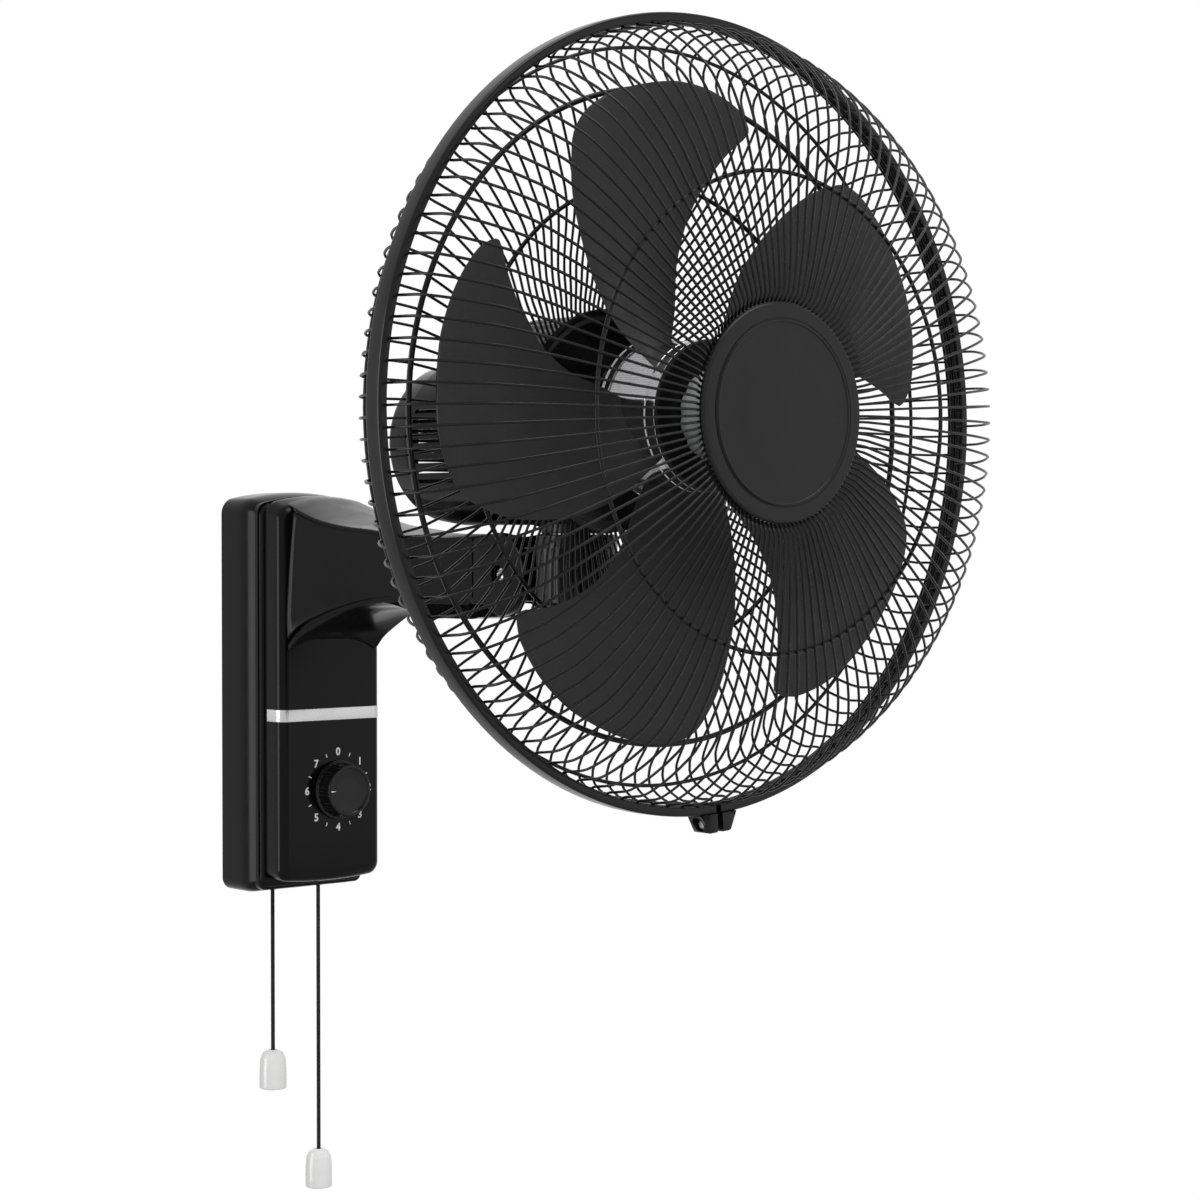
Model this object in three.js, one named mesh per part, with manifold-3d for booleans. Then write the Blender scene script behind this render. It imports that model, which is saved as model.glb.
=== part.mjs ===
// Oscillating wall fan, 16 inch class: a wall box with a timer and two pull cords, a flared arm,
// a neck that tilts and swings, an induction motor, five blades and a two-piece wire guard.
// Millimetres. The wall is the plane y = 0, the fan blows towards -y and +z is up.
// The origin is the middle of the wall box's back.

import * as THREE from "three";
import { mergeVertices } from "three/addons/utils/BufferGeometryUtils.js";
import Module from "manifold-3d";

const wasm = await Module();
wasm.setup();

// ---------------------------------------------------------------- driving dimensions

const gap = 0.3; // left between two pieces that touch

// wall box
const boxWidth = 88;
const boxHeight = 264;
const boxDepth = 42;
const boxWall = 2.5;
const boxCorner = 8;
const backSpace = 5; // from the wall to the housing's back wall
const plateThickness = 2.3;
const plateMargin = 5.5; // between the bracket's edge and the inside of the box
const coverInset = 4; // the cover stands in from the sides of the box
const coverTopInset = 2.5;
const coverBottomInset = 8;
const coverDepth = 22; // from the box to the cover's face
const coverWall = 2.2;
const grooveWidth = 5.5;
const grooveDepth = 2;
const stripHeight = 8;
const stripDrop = 14; // middle of the trim strip below the middle of the box
const stripProud = 0.4;
const stripThickness = 1.3;

// timer
const timerRight = 5; // dial centre from the middle of the box
const timerDrop = 64;
const timerSize = 40;
const timerDepth = 22;
const spindleRadius = 3;
const knobBackRadius = 19.5;
const knobFrontRadius = 16.7;
const knobHeight = 13;

// pull cords
const cordSpread = 18.5; // each cord from the middle of the box
const cordOut = 22; // and from the wall
const cordRadius = 1.35;
const bushRadius = 3.6;
const pullTravel = 10;
const leftCordDrop = 107; // below the box
const rightCordDrop = 178.5;
const pendantRadius = 9;
const pendantHeight = 26;
const switchSize = 22;
const leverSize = 7;
const crownRadius = 164; // of the arc that the tops of the box and the cover follow

// arm
const armReach = 199; // face of the cover to the tilt bolt
const tiltHeight = 80; // tilt bolt above the middle of the box
const armRootHalfWidth = 34;
const armEyeHalfWidth = 22;
const armRootTop = 49; // above the tilt bolt
const armRootBottom = 48; // below it
const armEyeRadius = 25;
const armWall = 2.5;
const cheekThickness = 3.6;
const slotLength = 25; // the fork is open this far behind the bolt
const boltRadius = 3;
const boltHeadRadius = 5;

// neck
const swingAhead = 48; // swing axis in front of the tilt bolt
const neckTop = 24; // above the bolt
const neckBottom = 22;
const neckRadius = 24;
const tongueRadius = 16;
const postRadius = 8;
const bossRadius = 21;
const swingMotorRadius = 17;

// head: its axis above the bolt, and the guard's front plane in front of the swing axis
const headHeight = 90;
const guardAhead = 107;
const guardRadius = 225;
const bandWidth = 12;
const bandWall = 2;
const bandFlange = 1.6;
const clampTurn = 3.6; // degrees, the clamp sits a little beside the bottom
const earLength = 14;
const earHeight = 10;
const lugFoot = 8.5; // half the clamp's width at its lower end
const lugRoot = 13.5; // and where it meets the band
const lugFloor = 3.5; // under the screw's head and under the nut

// wire guards
const wireWidth = 2;
const wireCount = 20; // every sixth wire of the real guard
const frontRise = 66; // the guard's front stands this far ahead of the band
const rearPlate = 80; // its back plate this far behind
const rearPlateRadius = 65;
const badgeRadius = 60.5;
const badgeDiscRadius = 50;

// motor
const motorRadius = 62;
const motorLength = 52;
const motorWall = 3;
const shaftRadius = 4;
const nutRadius = 32;
const nutLength = 18;
const rearCoverRadius = 50.5;
const rearCoverLength = 107;
const rearCoverDrop = 10;
const rotorRadius = 26;

// blades
const bladeTip = 187;
const hubRadius = 43;
const hubDepth = 46;
const hubRise = 10; // the hub's front ahead of the band's front plane
const bladeCount = 5;
const bladeThickness = 2;
const bladeTurn = 29; // degrees, first blade from +x
const spinnerRadius = 27;
const spinnerLength = 16;

// ---------------------------------------------------------------- places that follow

const coverFace = -(boxDepth + coverDepth);
const tiltY = coverFace - armReach;
const swingY = tiltY - swingAhead;
const front = swingY - guardAhead; // front plane of the band
const headZ = tiltHeight + headHeight;
const boxHalf = boxWidth / 2;
const boxTop = boxHeight / 2;
const coverHalf = boxHalf - coverInset;
const coverTop = boxTop - coverTopInset;
const coverBottom = -boxTop + coverBottomInset;
const stripTop = -stripDrop + stripHeight / 2;
const stripBottom = -stripDrop - stripHeight / 2;
const backWall = -(backSpace + boxWall); // inner face of the housing's back wall
const cheekOut = armEyeHalfWidth * 0.725;
const cheekIn = cheekOut - cheekThickness;
const tongueHalf = cheekIn - 0.4;

// ---------------------------------------------------------------- finishes

const finish = (color, roughness, metalness = 0) =>
  new THREE.MeshStandardMaterial({ color, roughness, metalness });
const glossBlack = finish(0x141416, 0.25);
const satinBlack = finish(0x232326, 0.5);
const bladeGrey = finish(0x2c2d30, 0.5);
const wirePaint = finish(0x17171a, 0.35, 0.2);
const brightTrim = finish(0xdcdde0, 0.3, 0.8);
const zinc = finish(0xb8babd, 0.4, 0.9);
const steel = finish(0x8d9095, 0.4, 0.9);
const copper = finish(0xb4663a, 0.4, 0.9);
const greyPlastic = finish(0x77797d, 0.5);
const pendantWhite = finish(0xf2f2f0, 0.35);
const cordBlack = finish(0x1c1c1e, 0.85);
const palePlastic = finish(0xd9d6cc, 0.55);

// ---------------------------------------------------------------- shapes

// A closed geometry as a solid, whichever way round its profile was drawn.
function solid(geometry) {
  if (!geometry.isBufferGeometry) return geometry;
  const bare = new THREE.BufferGeometry().setAttribute("position", geometry.getAttribute("position"));
  if (geometry.index) bare.setIndex(geometry.index);
  const merged = mergeVertices(bare, 1e-4);
  const make = (reversed) => {
    const triVerts = new Uint32Array(merged.index.array);
    for (let i = 0; reversed && i < triVerts.length; i += 3) {
      [triVerts[i + 1], triVerts[i + 2]] = [triVerts[i + 2], triVerts[i + 1]];
    }
    const vertProperties = new Float32Array(merged.getAttribute("position").array);
    return new wasm.Manifold(new wasm.Mesh({ numProp: 3, vertProperties, triVerts }));
  };
  const made = make(false);
  return made.volume() < 0 ? make(true) : made;
}

const join = (...shapes) => shapes.map(solid).reduce((all, one) => all.add(one));
const cut = (body, ...tools) => tools.map(solid).reduce((left, tool) => left.subtract(tool), solid(body));

function box(x0, x1, y0, y1, z0, z1) {
  return new THREE.BoxGeometry(x1 - x0, y1 - y0, z1 - z0)
    .translate((x0 + x1) / 2, (y0 + y1) / 2, (z0 + z1) / 2);
}

// Rods along each axis.
const rodX = (radius, y, z, x0, x1, sides = 20) =>
  new THREE.CylinderGeometry(radius, radius, x1 - x0, sides)
    .rotateZ(Math.PI / 2)
    .translate((x0 + x1) / 2, y, z);
const rodY = (radius, x, z, y0, y1, sides = 20) =>
  new THREE.CylinderGeometry(radius, radius, y1 - y0, sides).translate(x, (y0 + y1) / 2, z);
const rodZ = (radius, x, y, z0, z1, sides = 20) =>
  new THREE.CylinderGeometry(radius, radius, z1 - z0, sides)
    .rotateX(Math.PI / 2)
    .translate(x, y, (z0 + z1) / 2);

// A closed profile of [radius, y] points turned about the head's axis, y measured from the band.
function turned(points, sides = 32) {
  const ends = points[0][0] === 0 ? [] : [points[0]];
  return new THREE.LatheGeometry([...points, ...ends].map(([r, y]) => new THREE.Vector2(r, y)), sides)
    .translate(0, front, headZ);
}

// A rounded rectangle seen from the front, from y0 back to y1, its front edge rounded.
function slab(half, z0, z1, corner, y0, y1, edge = 0) {
  const shape = new THREE.Shape();
  const [w, low, high] = [half - edge, z0 + edge, z1 - edge];
  const r = Math.max(corner - edge, 0.5);
  shape.moveTo(-w + r, low);
  shape.lineTo(w - r, low);
  shape.absarc(w - r, low + r, r, -Math.PI / 2, 0);
  shape.absarc(w - r, high - r, r, 0, Math.PI / 2);
  shape.absarc(-w + r, high - r, r, Math.PI / 2, Math.PI);
  shape.absarc(-w + r, low + r, r, Math.PI, 1.5 * Math.PI);
  const bevel = { bevelEnabled: edge > 0, bevelThickness: edge, bevelSize: edge, bevelSegments: 2 };
  const made = new THREE.ExtrudeGeometry(shape, {
    depth: y1 - y0 - edge,
    curveSegments: 3,
    ...bevel,
  }).rotateX(Math.PI / 2).translate(0, y1, 0);
  if (!edge) return made;
  return solid(made).subtract(solid(box(-500, 500, y1, y1 + 2 * edge + 1, z0 - 50, z1 + 50)));
}

// The part of a shape under the wide arc that both halves of the box have for a top.
const crowned = (shape, top) =>
  solid(shape).intersect(solid(rodY(crownRadius, 0, top - crownRadius, -200, 100, 120)));

// A skin through sections with equal numbers of points, each section's second half returning
// under its first, so that both ends close in strips.
function loft(sections) {
  const count = sections[0].length;
  const faces = [];
  for (let s = 0; s + 1 < sections.length; s++) {
    for (let i = 0; i < count; i++) {
      const [a, b] = [s * count + i, s * count + ((i + 1) % count)];
      faces.push(a, b, b + count, a, b + count, a + count);
    }
  }
  const last = (sections.length - 1) * count;
  for (let i = 0; i < count / 2 - 1; i++) {
    const [a, b, c, d] = [i, i + 1, count - 2 - i, count - 1 - i];
    faces.push(a, c, b, a, d, c);
    faces.push(last + a, last + b, last + c, last + a, last + c, last + d);
  }
  return new THREE.BufferGeometry()
    .setAttribute("position", new THREE.Float32BufferAttribute(sections.flat(2), 3))
    .setIndex(faces);
}

// Straight line values between [key, value] rows.
function along(rows, key, column = 1) {
  const sign = rows[0][0] < rows.at(-1)[0] ? 1 : -1;
  let i = 0;
  while (i < rows.length - 2 && sign * key > sign * rows[i + 1][0]) i++;
  const t = (key - rows[i][0]) / (rows[i + 1][0] - rows[i][0]);
  return rows[i][column] + t * (rows[i + 1][column] - rows[i][column]);
}

// A wire guard as one skin: bars that follow the stations, and a full ring of `ring` steps
// between two bars wherever a station has one.
function lattice(stations) {
  const positions = [];
  const faces = [];
  const index = new Map();
  const turn = (2 * Math.PI) / wireCount;
  stations.forEach((s, i) => {
    if (s.nr !== undefined) return;
    const [a, b] = [stations[Math.max(i - 1, 0)], stations[Math.min(i + 1, stations.length - 1)]];
    const length = Math.hypot(b.r - a.r, b.y - a.y);
    [s.nr, s.ny] = [-(b.y - a.y) / length, (b.r - a.r) / length];
  });
  const angleOf = (s, bar, step, steps) => {
    const half = Math.asin(Math.min(wireWidth / 2 / stations[s].r, 0.5 * Math.sin(turn / 2)));
    return bar * turn + half + ((turn - 2 * half) * step) / steps;
  };
  const point = (s, bar, step, steps, side) => {
    const exact = step === steps ? [(bar + 1) % wireCount, "a"] : step === 0 ? [bar, "b"] : [bar, step];
    const key = [s, ...exact, side].join();
    if (!index.has(key)) {
      const st = stations[s];
      const angle = step === steps
        ? (bar + 1) * turn - (angleOf(s, 0, 0, 1))
        : angleOf(s, bar, step, steps);
      const [r, y] = [st.r + side * st.half * st.nr, st.y + side * st.half * st.ny];
      index.set(key, positions.length / 3);
      positions.push(r * Math.cos(angle), y, r * Math.sin(angle));
    }
    return index.get(key);
  };
  const quad = (a, b, c, d) => faces.push(a, b, c, a, c, d);
  for (let bar = 0; bar < wireCount; bar++) {
    const before = (bar + wireCount - 1) % wireCount;
    const left = (s, side) => point(s, before, 1, 1, side);
    const right = (s, side) => point(s, bar, 0, 1, side);
    for (let s = 0; s + 1 < stations.length; s++) {
      quad(left(s, 1), right(s, 1), right(s + 1, 1), left(s + 1, 1));
      quad(right(s, -1), left(s, -1), left(s + 1, -1), right(s + 1, -1));
      const steps = stations[s].ring;
      if (!steps) {
        quad(right(s, 1), right(s, -1), right(s + 1, -1), right(s + 1, 1));
        quad(left(s, -1), left(s, 1), left(s + 1, 1), left(s + 1, -1));
        continue;
      }
      for (let k = 0; k < steps; k++) {
        const p = (at, step, side) => point(at, bar, step, steps, side);
        quad(p(s, k, 1), p(s, k + 1, 1), p(s + 1, k + 1, 1), p(s + 1, k, 1));
        quad(p(s, k + 1, -1), p(s, k, -1), p(s + 1, k, -1), p(s + 1, k + 1, -1));
        quad(p(s, k, -1), p(s, k + 1, -1), p(s, k + 1, 1), p(s, k, 1));
        quad(p(s + 1, k + 1, -1), p(s + 1, k, -1), p(s + 1, k, 1), p(s + 1, k + 1, 1));
      }
    }
    quad(left(0, -1), right(0, -1), right(0, 1), left(0, 1));
    const end = stations.length - 1;
    quad(right(end, -1), left(end, -1), left(end, 1), right(end, 1));
  }
  return new THREE.BufferGeometry()
    .setAttribute("position", new THREE.Float32BufferAttribute(positions, 3))
    .setIndex(faces)
    .translate(0, front, headZ);
}

const fan = new THREE.Group();

function place(name, shape, material) {
  const data = solid(shape).getMesh();
  const geometry = new THREE.BufferGeometry()
    .setAttribute("position", new THREE.BufferAttribute(data.vertProperties, 3))
    .setIndex(new THREE.BufferAttribute(data.triVerts, 1));
  geometry.computeVertexNormals();
  const mesh = new THREE.Mesh(geometry, material);
  mesh.name = name;
  fan.add(mesh);
  return mesh;
}

// ---------------------------------------------------------------- wall box

const plateHalf = boxHalf - boxWall - plateMargin;
const plateTall = boxTop - boxWall - plateMargin - 12;
const screwPlaces = [[-plateHalf + 10, plateTall - 10], [plateHalf - 10, plateTall - 10], [0, -plateTall + 10]];

place("wall_bracket", cut(
  join(
    box(-plateHalf, plateHalf, -plateThickness, 0, -plateTall, plateTall),
    box(-10, 10, -backSpace + gap, -plateThickness / 2, plateTall - 8, plateTall),
    box(-plateHalf, -plateHalf + 8, -backSpace + gap, -plateThickness / 2, -40, -20),
    box(plateHalf - 8, plateHalf, -backSpace + gap, -plateThickness / 2, -40, -20),
  ),
  ...screwPlaces.map(([x, z]) => rodY(2.6, x, z, -plateThickness - 1, 1, 12)),
), zinc);

screwPlaces.forEach(([x, z], i) => {
  const y = -plateThickness - gap;
  place(`wall_screw_${i + 1}`, join(rodY(4.2, x, z, y - 1.6, y, 12), rodY(2.2, x, z, y - 1, -gap, 12)), steel);
});

const coverNeckHalf = coverHalf - grooveDepth;
place("rear_housing", cut(
  crowned(slab(boxHalf, -boxTop, boxTop, boxCorner, -boxDepth, -gap, 4), boxTop),
  crowned(slab(boxHalf - boxWall, -boxTop + boxWall, boxTop - boxWall, boxCorner - boxWall, -backSpace, 1),
    boxTop - boxWall),
  crowned(slab(boxHalf - boxWall, -boxTop + boxWall, boxTop - boxWall, boxCorner - boxWall, -boxDepth + boxWall,
    backWall), boxTop - boxWall),
  crowned(slab(coverNeckHalf - coverWall - 1.5, coverBottom + 6, coverTop - 6, 4, -boxDepth - 1,
    -boxDepth + boxWall + 1), coverTop - 6),
  rodZ(bushRadius + gap, -cordSpread, -cordOut, -boxTop - 1, -boxTop + boxWall + 1, 12),
  rodZ(bushRadius + gap, cordSpread, -cordOut, -boxTop - 1, -boxTop + boxWall + 1, 12),
  rodY(6, 0, -85, backWall - 1, 0, 16),
), glossBlack);

// The cover's shape standing in by `inset` from its face and sides, between two heights.
function coverBand(inset, z0, z1) {
  const [half, face, back] = [coverHalf - inset, coverFace + inset, -boxDepth - grooveWidth];
  const shape = new THREE.Shape();
  const r = 5 - inset * 0.6;
  shape.moveTo(half, back);
  shape.lineTo(-half, back);
  shape.lineTo(-half, face + r);
  shape.absarc(-half + r, face + r, r, Math.PI, 1.5 * Math.PI);
  shape.absarc(half - r, face + r, r, 1.5 * Math.PI, 2 * Math.PI);
  return new THREE.ExtrudeGeometry(shape, { depth: z1 - z0, bevelEnabled: false, curveSegments: 4 })
    .translate(0, 0, z0);
}

const timerZ = -timerDrop;
const stripIn = stripThickness - stripProud;
place("front_cover", cut(
  join(
    crowned(slab(coverHalf, coverBottom, coverTop, 5, coverFace, -boxDepth - grooveWidth, 5), coverTop),
    crowned(slab(coverNeckHalf, coverBottom + grooveDepth, coverTop - grooveDepth, 3, coverFace + 8,
      -boxDepth - gap), coverTop - grooveDepth),
  ),
  crowned(slab(coverNeckHalf - coverWall, coverBottom + grooveDepth + coverWall,
    coverTop - grooveDepth - coverWall, 3, coverFace + coverWall, 1), coverTop - grooveDepth - coverWall),
  cut(box(-boxHalf, boxHalf, coverFace - 5, -boxDepth - grooveWidth - 0.5, stripBottom - gap, stripTop + gap),
    coverBand(stripIn + gap, stripBottom - 5, stripTop + 5)),
  box(-cheekOut - 2, cheekOut + 2, coverFace - 1, 0, tiltHeight - 20, tiltHeight + 20),
  rodY(spindleRadius + 1, timerRight, timerZ, coverFace - 1, coverFace + 5, 16),
), glossBlack);

place("trim_strip", cut(
  coverBand(-stripProud, stripBottom, stripTop),
  coverBand(stripIn, stripBottom - 1, stripTop + 1),
  box(-boxWidth, boxWidth, -boxDepth - grooveWidth - 1, 0, stripBottom - 1, stripTop + 1),
), brightTrim);

// ---------------------------------------------------------------- timer

const timerFront = coverFace + coverWall + gap;
const timerHalf = timerSize / 2;
place("timer_switch", cut(
  box(timerRight - timerHalf, timerRight + timerHalf, timerFront, timerFront + timerDepth,
    timerZ - timerHalf, timerZ + timerHalf),
  rodY(spindleRadius + gap, timerRight, timerZ, timerFront - 1, timerFront + 12, 16),
), palePlastic);

const knobBack = coverFace - gap;
const spindleFront = knobBack - knobHeight * 0.7;
place("timer_spindle", rodY(spindleRadius, timerRight, timerZ, spindleFront + gap, timerFront + 11, 16), steel);

const knobShape = cut(
  new THREE.CylinderGeometry(knobBackRadius, knobFrontRadius, knobHeight, 36)
    .translate(timerRight, knobBack - knobHeight / 2, timerZ),
  rodY(spindleRadius + gap, timerRight, timerZ, spindleFront, knobBack + 1, 16),
  box(timerRight - 1, timerRight + 1, knobBack - knobHeight - 1, knobBack - knobHeight + 0.8,
    timerZ + knobFrontRadius * 0.4, timerZ + knobBackRadius + 1),
);
place("timer_knob", knobShape, glossBlack);

// ---------------------------------------------------------------- switches, cords and pendants

const switchBottom = -boxTop + boxWall + leverSize + pullTravel + 5;
const leverTop = switchBottom - gap;
const leverBottom = leverTop - leverSize;

for (const [side, sign, drop] of [["left", -1, leftCordDrop], ["right", 1, rightCordDrop]]) {
  const x = sign * cordSpread;
  const half = switchSize / 2;
  place(side === "left" ? "speed_switch" : "swing_switch",
    box(x - half + 3, x + half - 3, -cordOut - half + 2, backWall - gap, switchBottom, switchBottom + switchSize),
    palePlastic);
  place(`cord_bush_${side}`, cut(
    join(
      rodZ(bushRadius, x, -cordOut, -boxTop, -boxTop + boxWall + 2, 12),
      rodZ(bushRadius + 2, x, -cordOut, -boxTop + boxWall + gap, -boxTop + boxWall + 2, 12),
    ),
    rodZ(cordRadius + 0.6, x, -cordOut, -boxTop - 1, -boxTop + boxWall + 3, 12),
  ), satinBlack);
  place(`pull_lever_${side}`,
    box(x - leverSize / 2, x + leverSize / 2, -cordOut - leverSize / 2, -cordOut + leverSize / 2,
      leverBottom, leverTop),
    palePlastic);
  const pendantTop = -boxTop - drop;
  const cordEnd = pendantTop - 5;
  const cordTop = leverBottom - gap;
  const section = new THREE.Shape();
  for (let i = 0; i < 8; i++) {
    const a = ((i + 0.5) / 8) * 2 * Math.PI;
    section[i ? "lineTo" : "moveTo"](cordRadius * Math.cos(a), cordRadius * Math.sin(a));
  }
  const route = new THREE.LineCurve3(
    new THREE.Vector3(x, -cordOut, cordTop),
    new THREE.Vector3(x, -cordOut, cordEnd),
  );
  const steps = Math.round((cordTop - cordEnd) / (6 * cordRadius));
  place(`pull_cord_${side}`, new THREE.ExtrudeGeometry(section, { steps, extrudePath: route }), cordBlack);
  const w = pendantRadius;
  const bell = [[0, 0], [w * 0.45, 0], [w * 0.75, -1.6], [w * 0.92, -5], [w * 0.98, -9], [w, -14],
    [w, -pendantHeight + 2], [w - 1.6, -pendantHeight], [0, -pendantHeight]];
  place(`pendant_${side}`, cut(
    new THREE.LatheGeometry(bell.map(([r, h]) => new THREE.Vector2(r, h)), 16)
      .rotateX(Math.PI / 2)
      .translate(x, -cordOut, pendantTop),
    rodZ(cordRadius + gap, x, -cordOut, cordEnd - gap, pendantTop + 1, 12),
  ), pendantWhite);
}

place("capacitor", box(4, 34, backWall - gap - 16, backWall - gap, -40, 20), satinBlack);
place("terminal_block", box(-32, -10, backWall - gap - 13, backWall - gap, -60, -20), palePlastic);

// ---------------------------------------------------------------- arm

// Along the arm: y, half width, ridge, top edge of the side, bottom edge of the side.
const armSlope = (armEyeHalfWidth - armRootHalfWidth);
const s = (part) => coverFace - gap - part * (armReach - gap);
const widthAt = (part) => armRootHalfWidth + armSlope * (1 - (1 - part) ** 1.6);
const armRows = [
  // part of the reach, ridge, side top, side bottom, as heights from the tilt bolt
  [0, armRootTop, armRootTop * 0.816, -armRootBottom * 1.1],
  [0.05, armRootTop * 0.92, armRootTop * 0.77, -armRootBottom * 0.93],
  [0.15, armRootTop * 0.816, armRootTop * 0.7, -armRootBottom * 0.73],
  [0.27, armRootTop * 0.66, armRootTop * 0.61, -armRootBottom * 0.53],
  [0.4, armRootTop * 0.58, armRootTop * 0.57, -armRootBottom * 0.4],
  [0.52, armRootTop * 0.54, armRootTop * 0.48, -armRootBottom * 0.36],
  [0.75, armRootTop * 0.5, armRootTop * 0.43, -armRootBottom * 0.36],
  [1, armEyeRadius, armEyeRadius * 0.86, -armRootBottom * 0.36],
];
function armSections(inset, drop, until = 1, from = 0) {
  const rows = armRows.filter(([part]) => part >= from && part <= until).map((row) => [...row]);
  if (rows.at(-1)[0] < until) rows.push([until, 1, 2, 3].map((v, i) => (i ? along(armRows, until, i) : v)));
  if (rows[0][0] > from) rows.unshift([from, 1, 2, 3].map((v, i) => (i ? along(armRows, from, i) : v)));
  return rows.map(([part, ridge, top, bottom]) => {
    const half = widthAt(part) - inset;
    const [y, z0] = [s(part), tiltHeight];
    const [zr, zt, zb] = [z0 + ridge - inset, z0 + top - inset, z0 + bottom - drop];
    return [
      [-half, y, zb], [-half, y, zt], [-0.72 * half, y, zt + 0.62 * (zr - zt)],
      [-0.38 * half, y, zt + 0.9 * (zr - zt)], [0.38 * half, y, zt + 0.9 * (zr - zt)],
      [0.72 * half, y, zt + 0.62 * (zr - zt)], [half, y, zt], [half, y, zb],
    ];
  });
}

const forkStart = tiltY + slotLength;
const forkPart = (coverFace - gap - forkStart) / (armReach - gap);
const eye = rodX(armEyeRadius, tiltY, tiltHeight, -armEyeHalfWidth, armEyeHalfWidth, 36);
const hollow = armSections(armWall, 40, forkPart + 0.03);
hollow.unshift(hollow[0].map(([x, y, z]) => [x, y + 3, z]));
place("arm_shroud", cut(
  join(loft(armSections(0, 0)), eye),
  loft(hollow),
  box(-cheekOut - gap, cheekOut + gap, tiltY - armEyeRadius - 5, forkStart + 6,
    tiltHeight - 60, tiltHeight + 60),
  rodX(boltHeadRadius + gap, tiltY, tiltHeight, -armEyeHalfWidth - 1, armEyeHalfWidth + 1, 20),
), glossBlack);

const underEnd = 0.86;
const rootArch = 7; // the underside's rise between its two corners at the box
const plateSections = armSections(0, 0, underEnd, 0.01).map((row) => {
  const half = row[7][0] - armWall - gap;
  const [y, z] = [row[0][1], row[0][2]];
  const high = z + rootArch * Math.max(0, 1 - (coverFace - y) / armReach / 0.3);
  const top = [[-half, z], [-half * 0.45, high], [half * 0.45, high], [half, z]];
  return [...top.map(([x, h]) => [x, y, h + armWall]), ...top.reverse().map(([x, h]) => [x, y, h])];
});
const bellyDepth = 9.7;
const bellySections = [0.54, underEnd].map((part) => {
  const half = widthAt(part);
  const z = tiltHeight - armRootBottom * 0.36 - gap;
  const shallow = bellyDepth;
  return [[-half, s(part), z], [half, s(part), z],
    [half - shallow, s(part), z - shallow], [-half + shallow, s(part), z - shallow]];
});
const bellyTie = [0.54, underEnd].map((part) => {
  const half = widthAt(part) - armWall - gap;
  const z = tiltHeight - armRootBottom * 0.36;
  return [[-half, s(part), z - 2], [-half, s(part), z + armWall], [half, s(part), z + armWall],
    [half, s(part), z - 2]];
});
place("arm_underside", cut(
  join(loft(plateSections), loft(bellySections), loft(bellyTie)),
  box(-cheekOut - gap, cheekOut + gap, tiltY - armEyeRadius, forkStart, tiltHeight - 60, tiltHeight + 60),
  rodX(armEyeRadius + gap, tiltY, tiltHeight, -armEyeHalfWidth - 5, armEyeHalfWidth + 5, 36),
), glossBlack);

const coreRise = tongueRadius;
const coreLow = tiltHeight - armRootBottom * 0.36 + armWall + gap;
const flangeFront = backWall - gap - 3;
const coreScrews = [[-22, tiltHeight + coreRise + 8], [22, tiltHeight + coreRise + 8]];
place("arm_core", cut(
  join(
    box(-28, 28, flangeFront, backWall - gap, tiltHeight - coreRise - 8, tiltHeight + coreRise + 16),
    box(-cheekOut, cheekOut, tiltY, flangeFront + 1, coreLow, tiltHeight + coreRise),
    rodX(coreRise, tiltY, tiltHeight, -cheekOut, cheekOut, 24),
  ),
  box(-cheekIn, cheekIn, forkStart + 2, flangeFront, tiltHeight - 50, tiltHeight + coreRise - 3),
  box(-cheekIn, cheekIn, tiltY - 60, forkStart + 3, tiltHeight - 50, tiltHeight + 50),
  rodX(boltRadius + gap, tiltY, tiltHeight, -50, 50, 16),
  ...coreScrews.map(([x, z]) => rodY(2.4, x, z, flangeFront - 1, backWall, 12)),
), steel);
coreScrews.forEach(([x, z], i) => {
  place(`arm_core_screw_${i + 1}`, join(
    rodY(4, x, z, flangeFront - gap - 2, flangeFront - gap, 12),
    rodY(2, x, z, flangeFront - 1, backWall - gap, 12),
  ), zinc);
});

place("tilt_bolt", join(
  rodX(boltRadius, tiltY, tiltHeight, -cheekOut - 1, cheekOut + 3.8, 16),
  rodX(boltHeadRadius - 0.2, tiltY, tiltHeight, -cheekOut - gap - 3, -cheekOut - gap, 16),
), zinc);
place("tilt_nut", cut(
  rodX(boltHeadRadius - 0.2, tiltY, tiltHeight, cheekOut + gap, cheekOut + gap + 3, 6),
  rodX(boltRadius + gap, tiltY, tiltHeight, 0, 50, 16),
), zinc);

// ---------------------------------------------------------------- neck

const cupTop = tiltHeight + neckTop;
const cupBottom = tiltHeight - neckBottom;
const capTop = cupBottom + 5;
const ceiling = cupTop - 16;
place("neck_housing", cut(
  join(
    rodZ(neckRadius, 0, swingY, capTop + gap, cupTop, 32),
    box(-tongueHalf, tongueHalf, swingY + neckRadius / 2, tiltY, tiltHeight - tongueRadius, tiltHeight + tongueRadius),
    rodX(tongueRadius, tiltY, tiltHeight, -tongueHalf, tongueHalf, 24),
  ),
  rodZ(postRadius + gap, 0, swingY, cupBottom, cupTop + 1, 20),
  rodZ(swingMotorRadius + 1.5, 0, swingY, cupBottom, ceiling, 24),
  rodX(boltRadius + gap, tiltY, tiltHeight, -50, 50, 16),
), glossBlack);
place("neck_cover", join(
  rodZ(neckRadius, 0, swingY, cupBottom + 3, capTop, 32),
  new THREE.CylinderGeometry(neckRadius, neckRadius - 4, 3, 32)
    .rotateX(Math.PI / 2)
    .translate(0, swingY, cupBottom + 1.5),
), glossBlack);
place("swing_motor", rodZ(swingMotorRadius, 0, swingY, capTop + gap, ceiling - 10, 20), zinc);

// ---------------------------------------------------------------- motor

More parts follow.
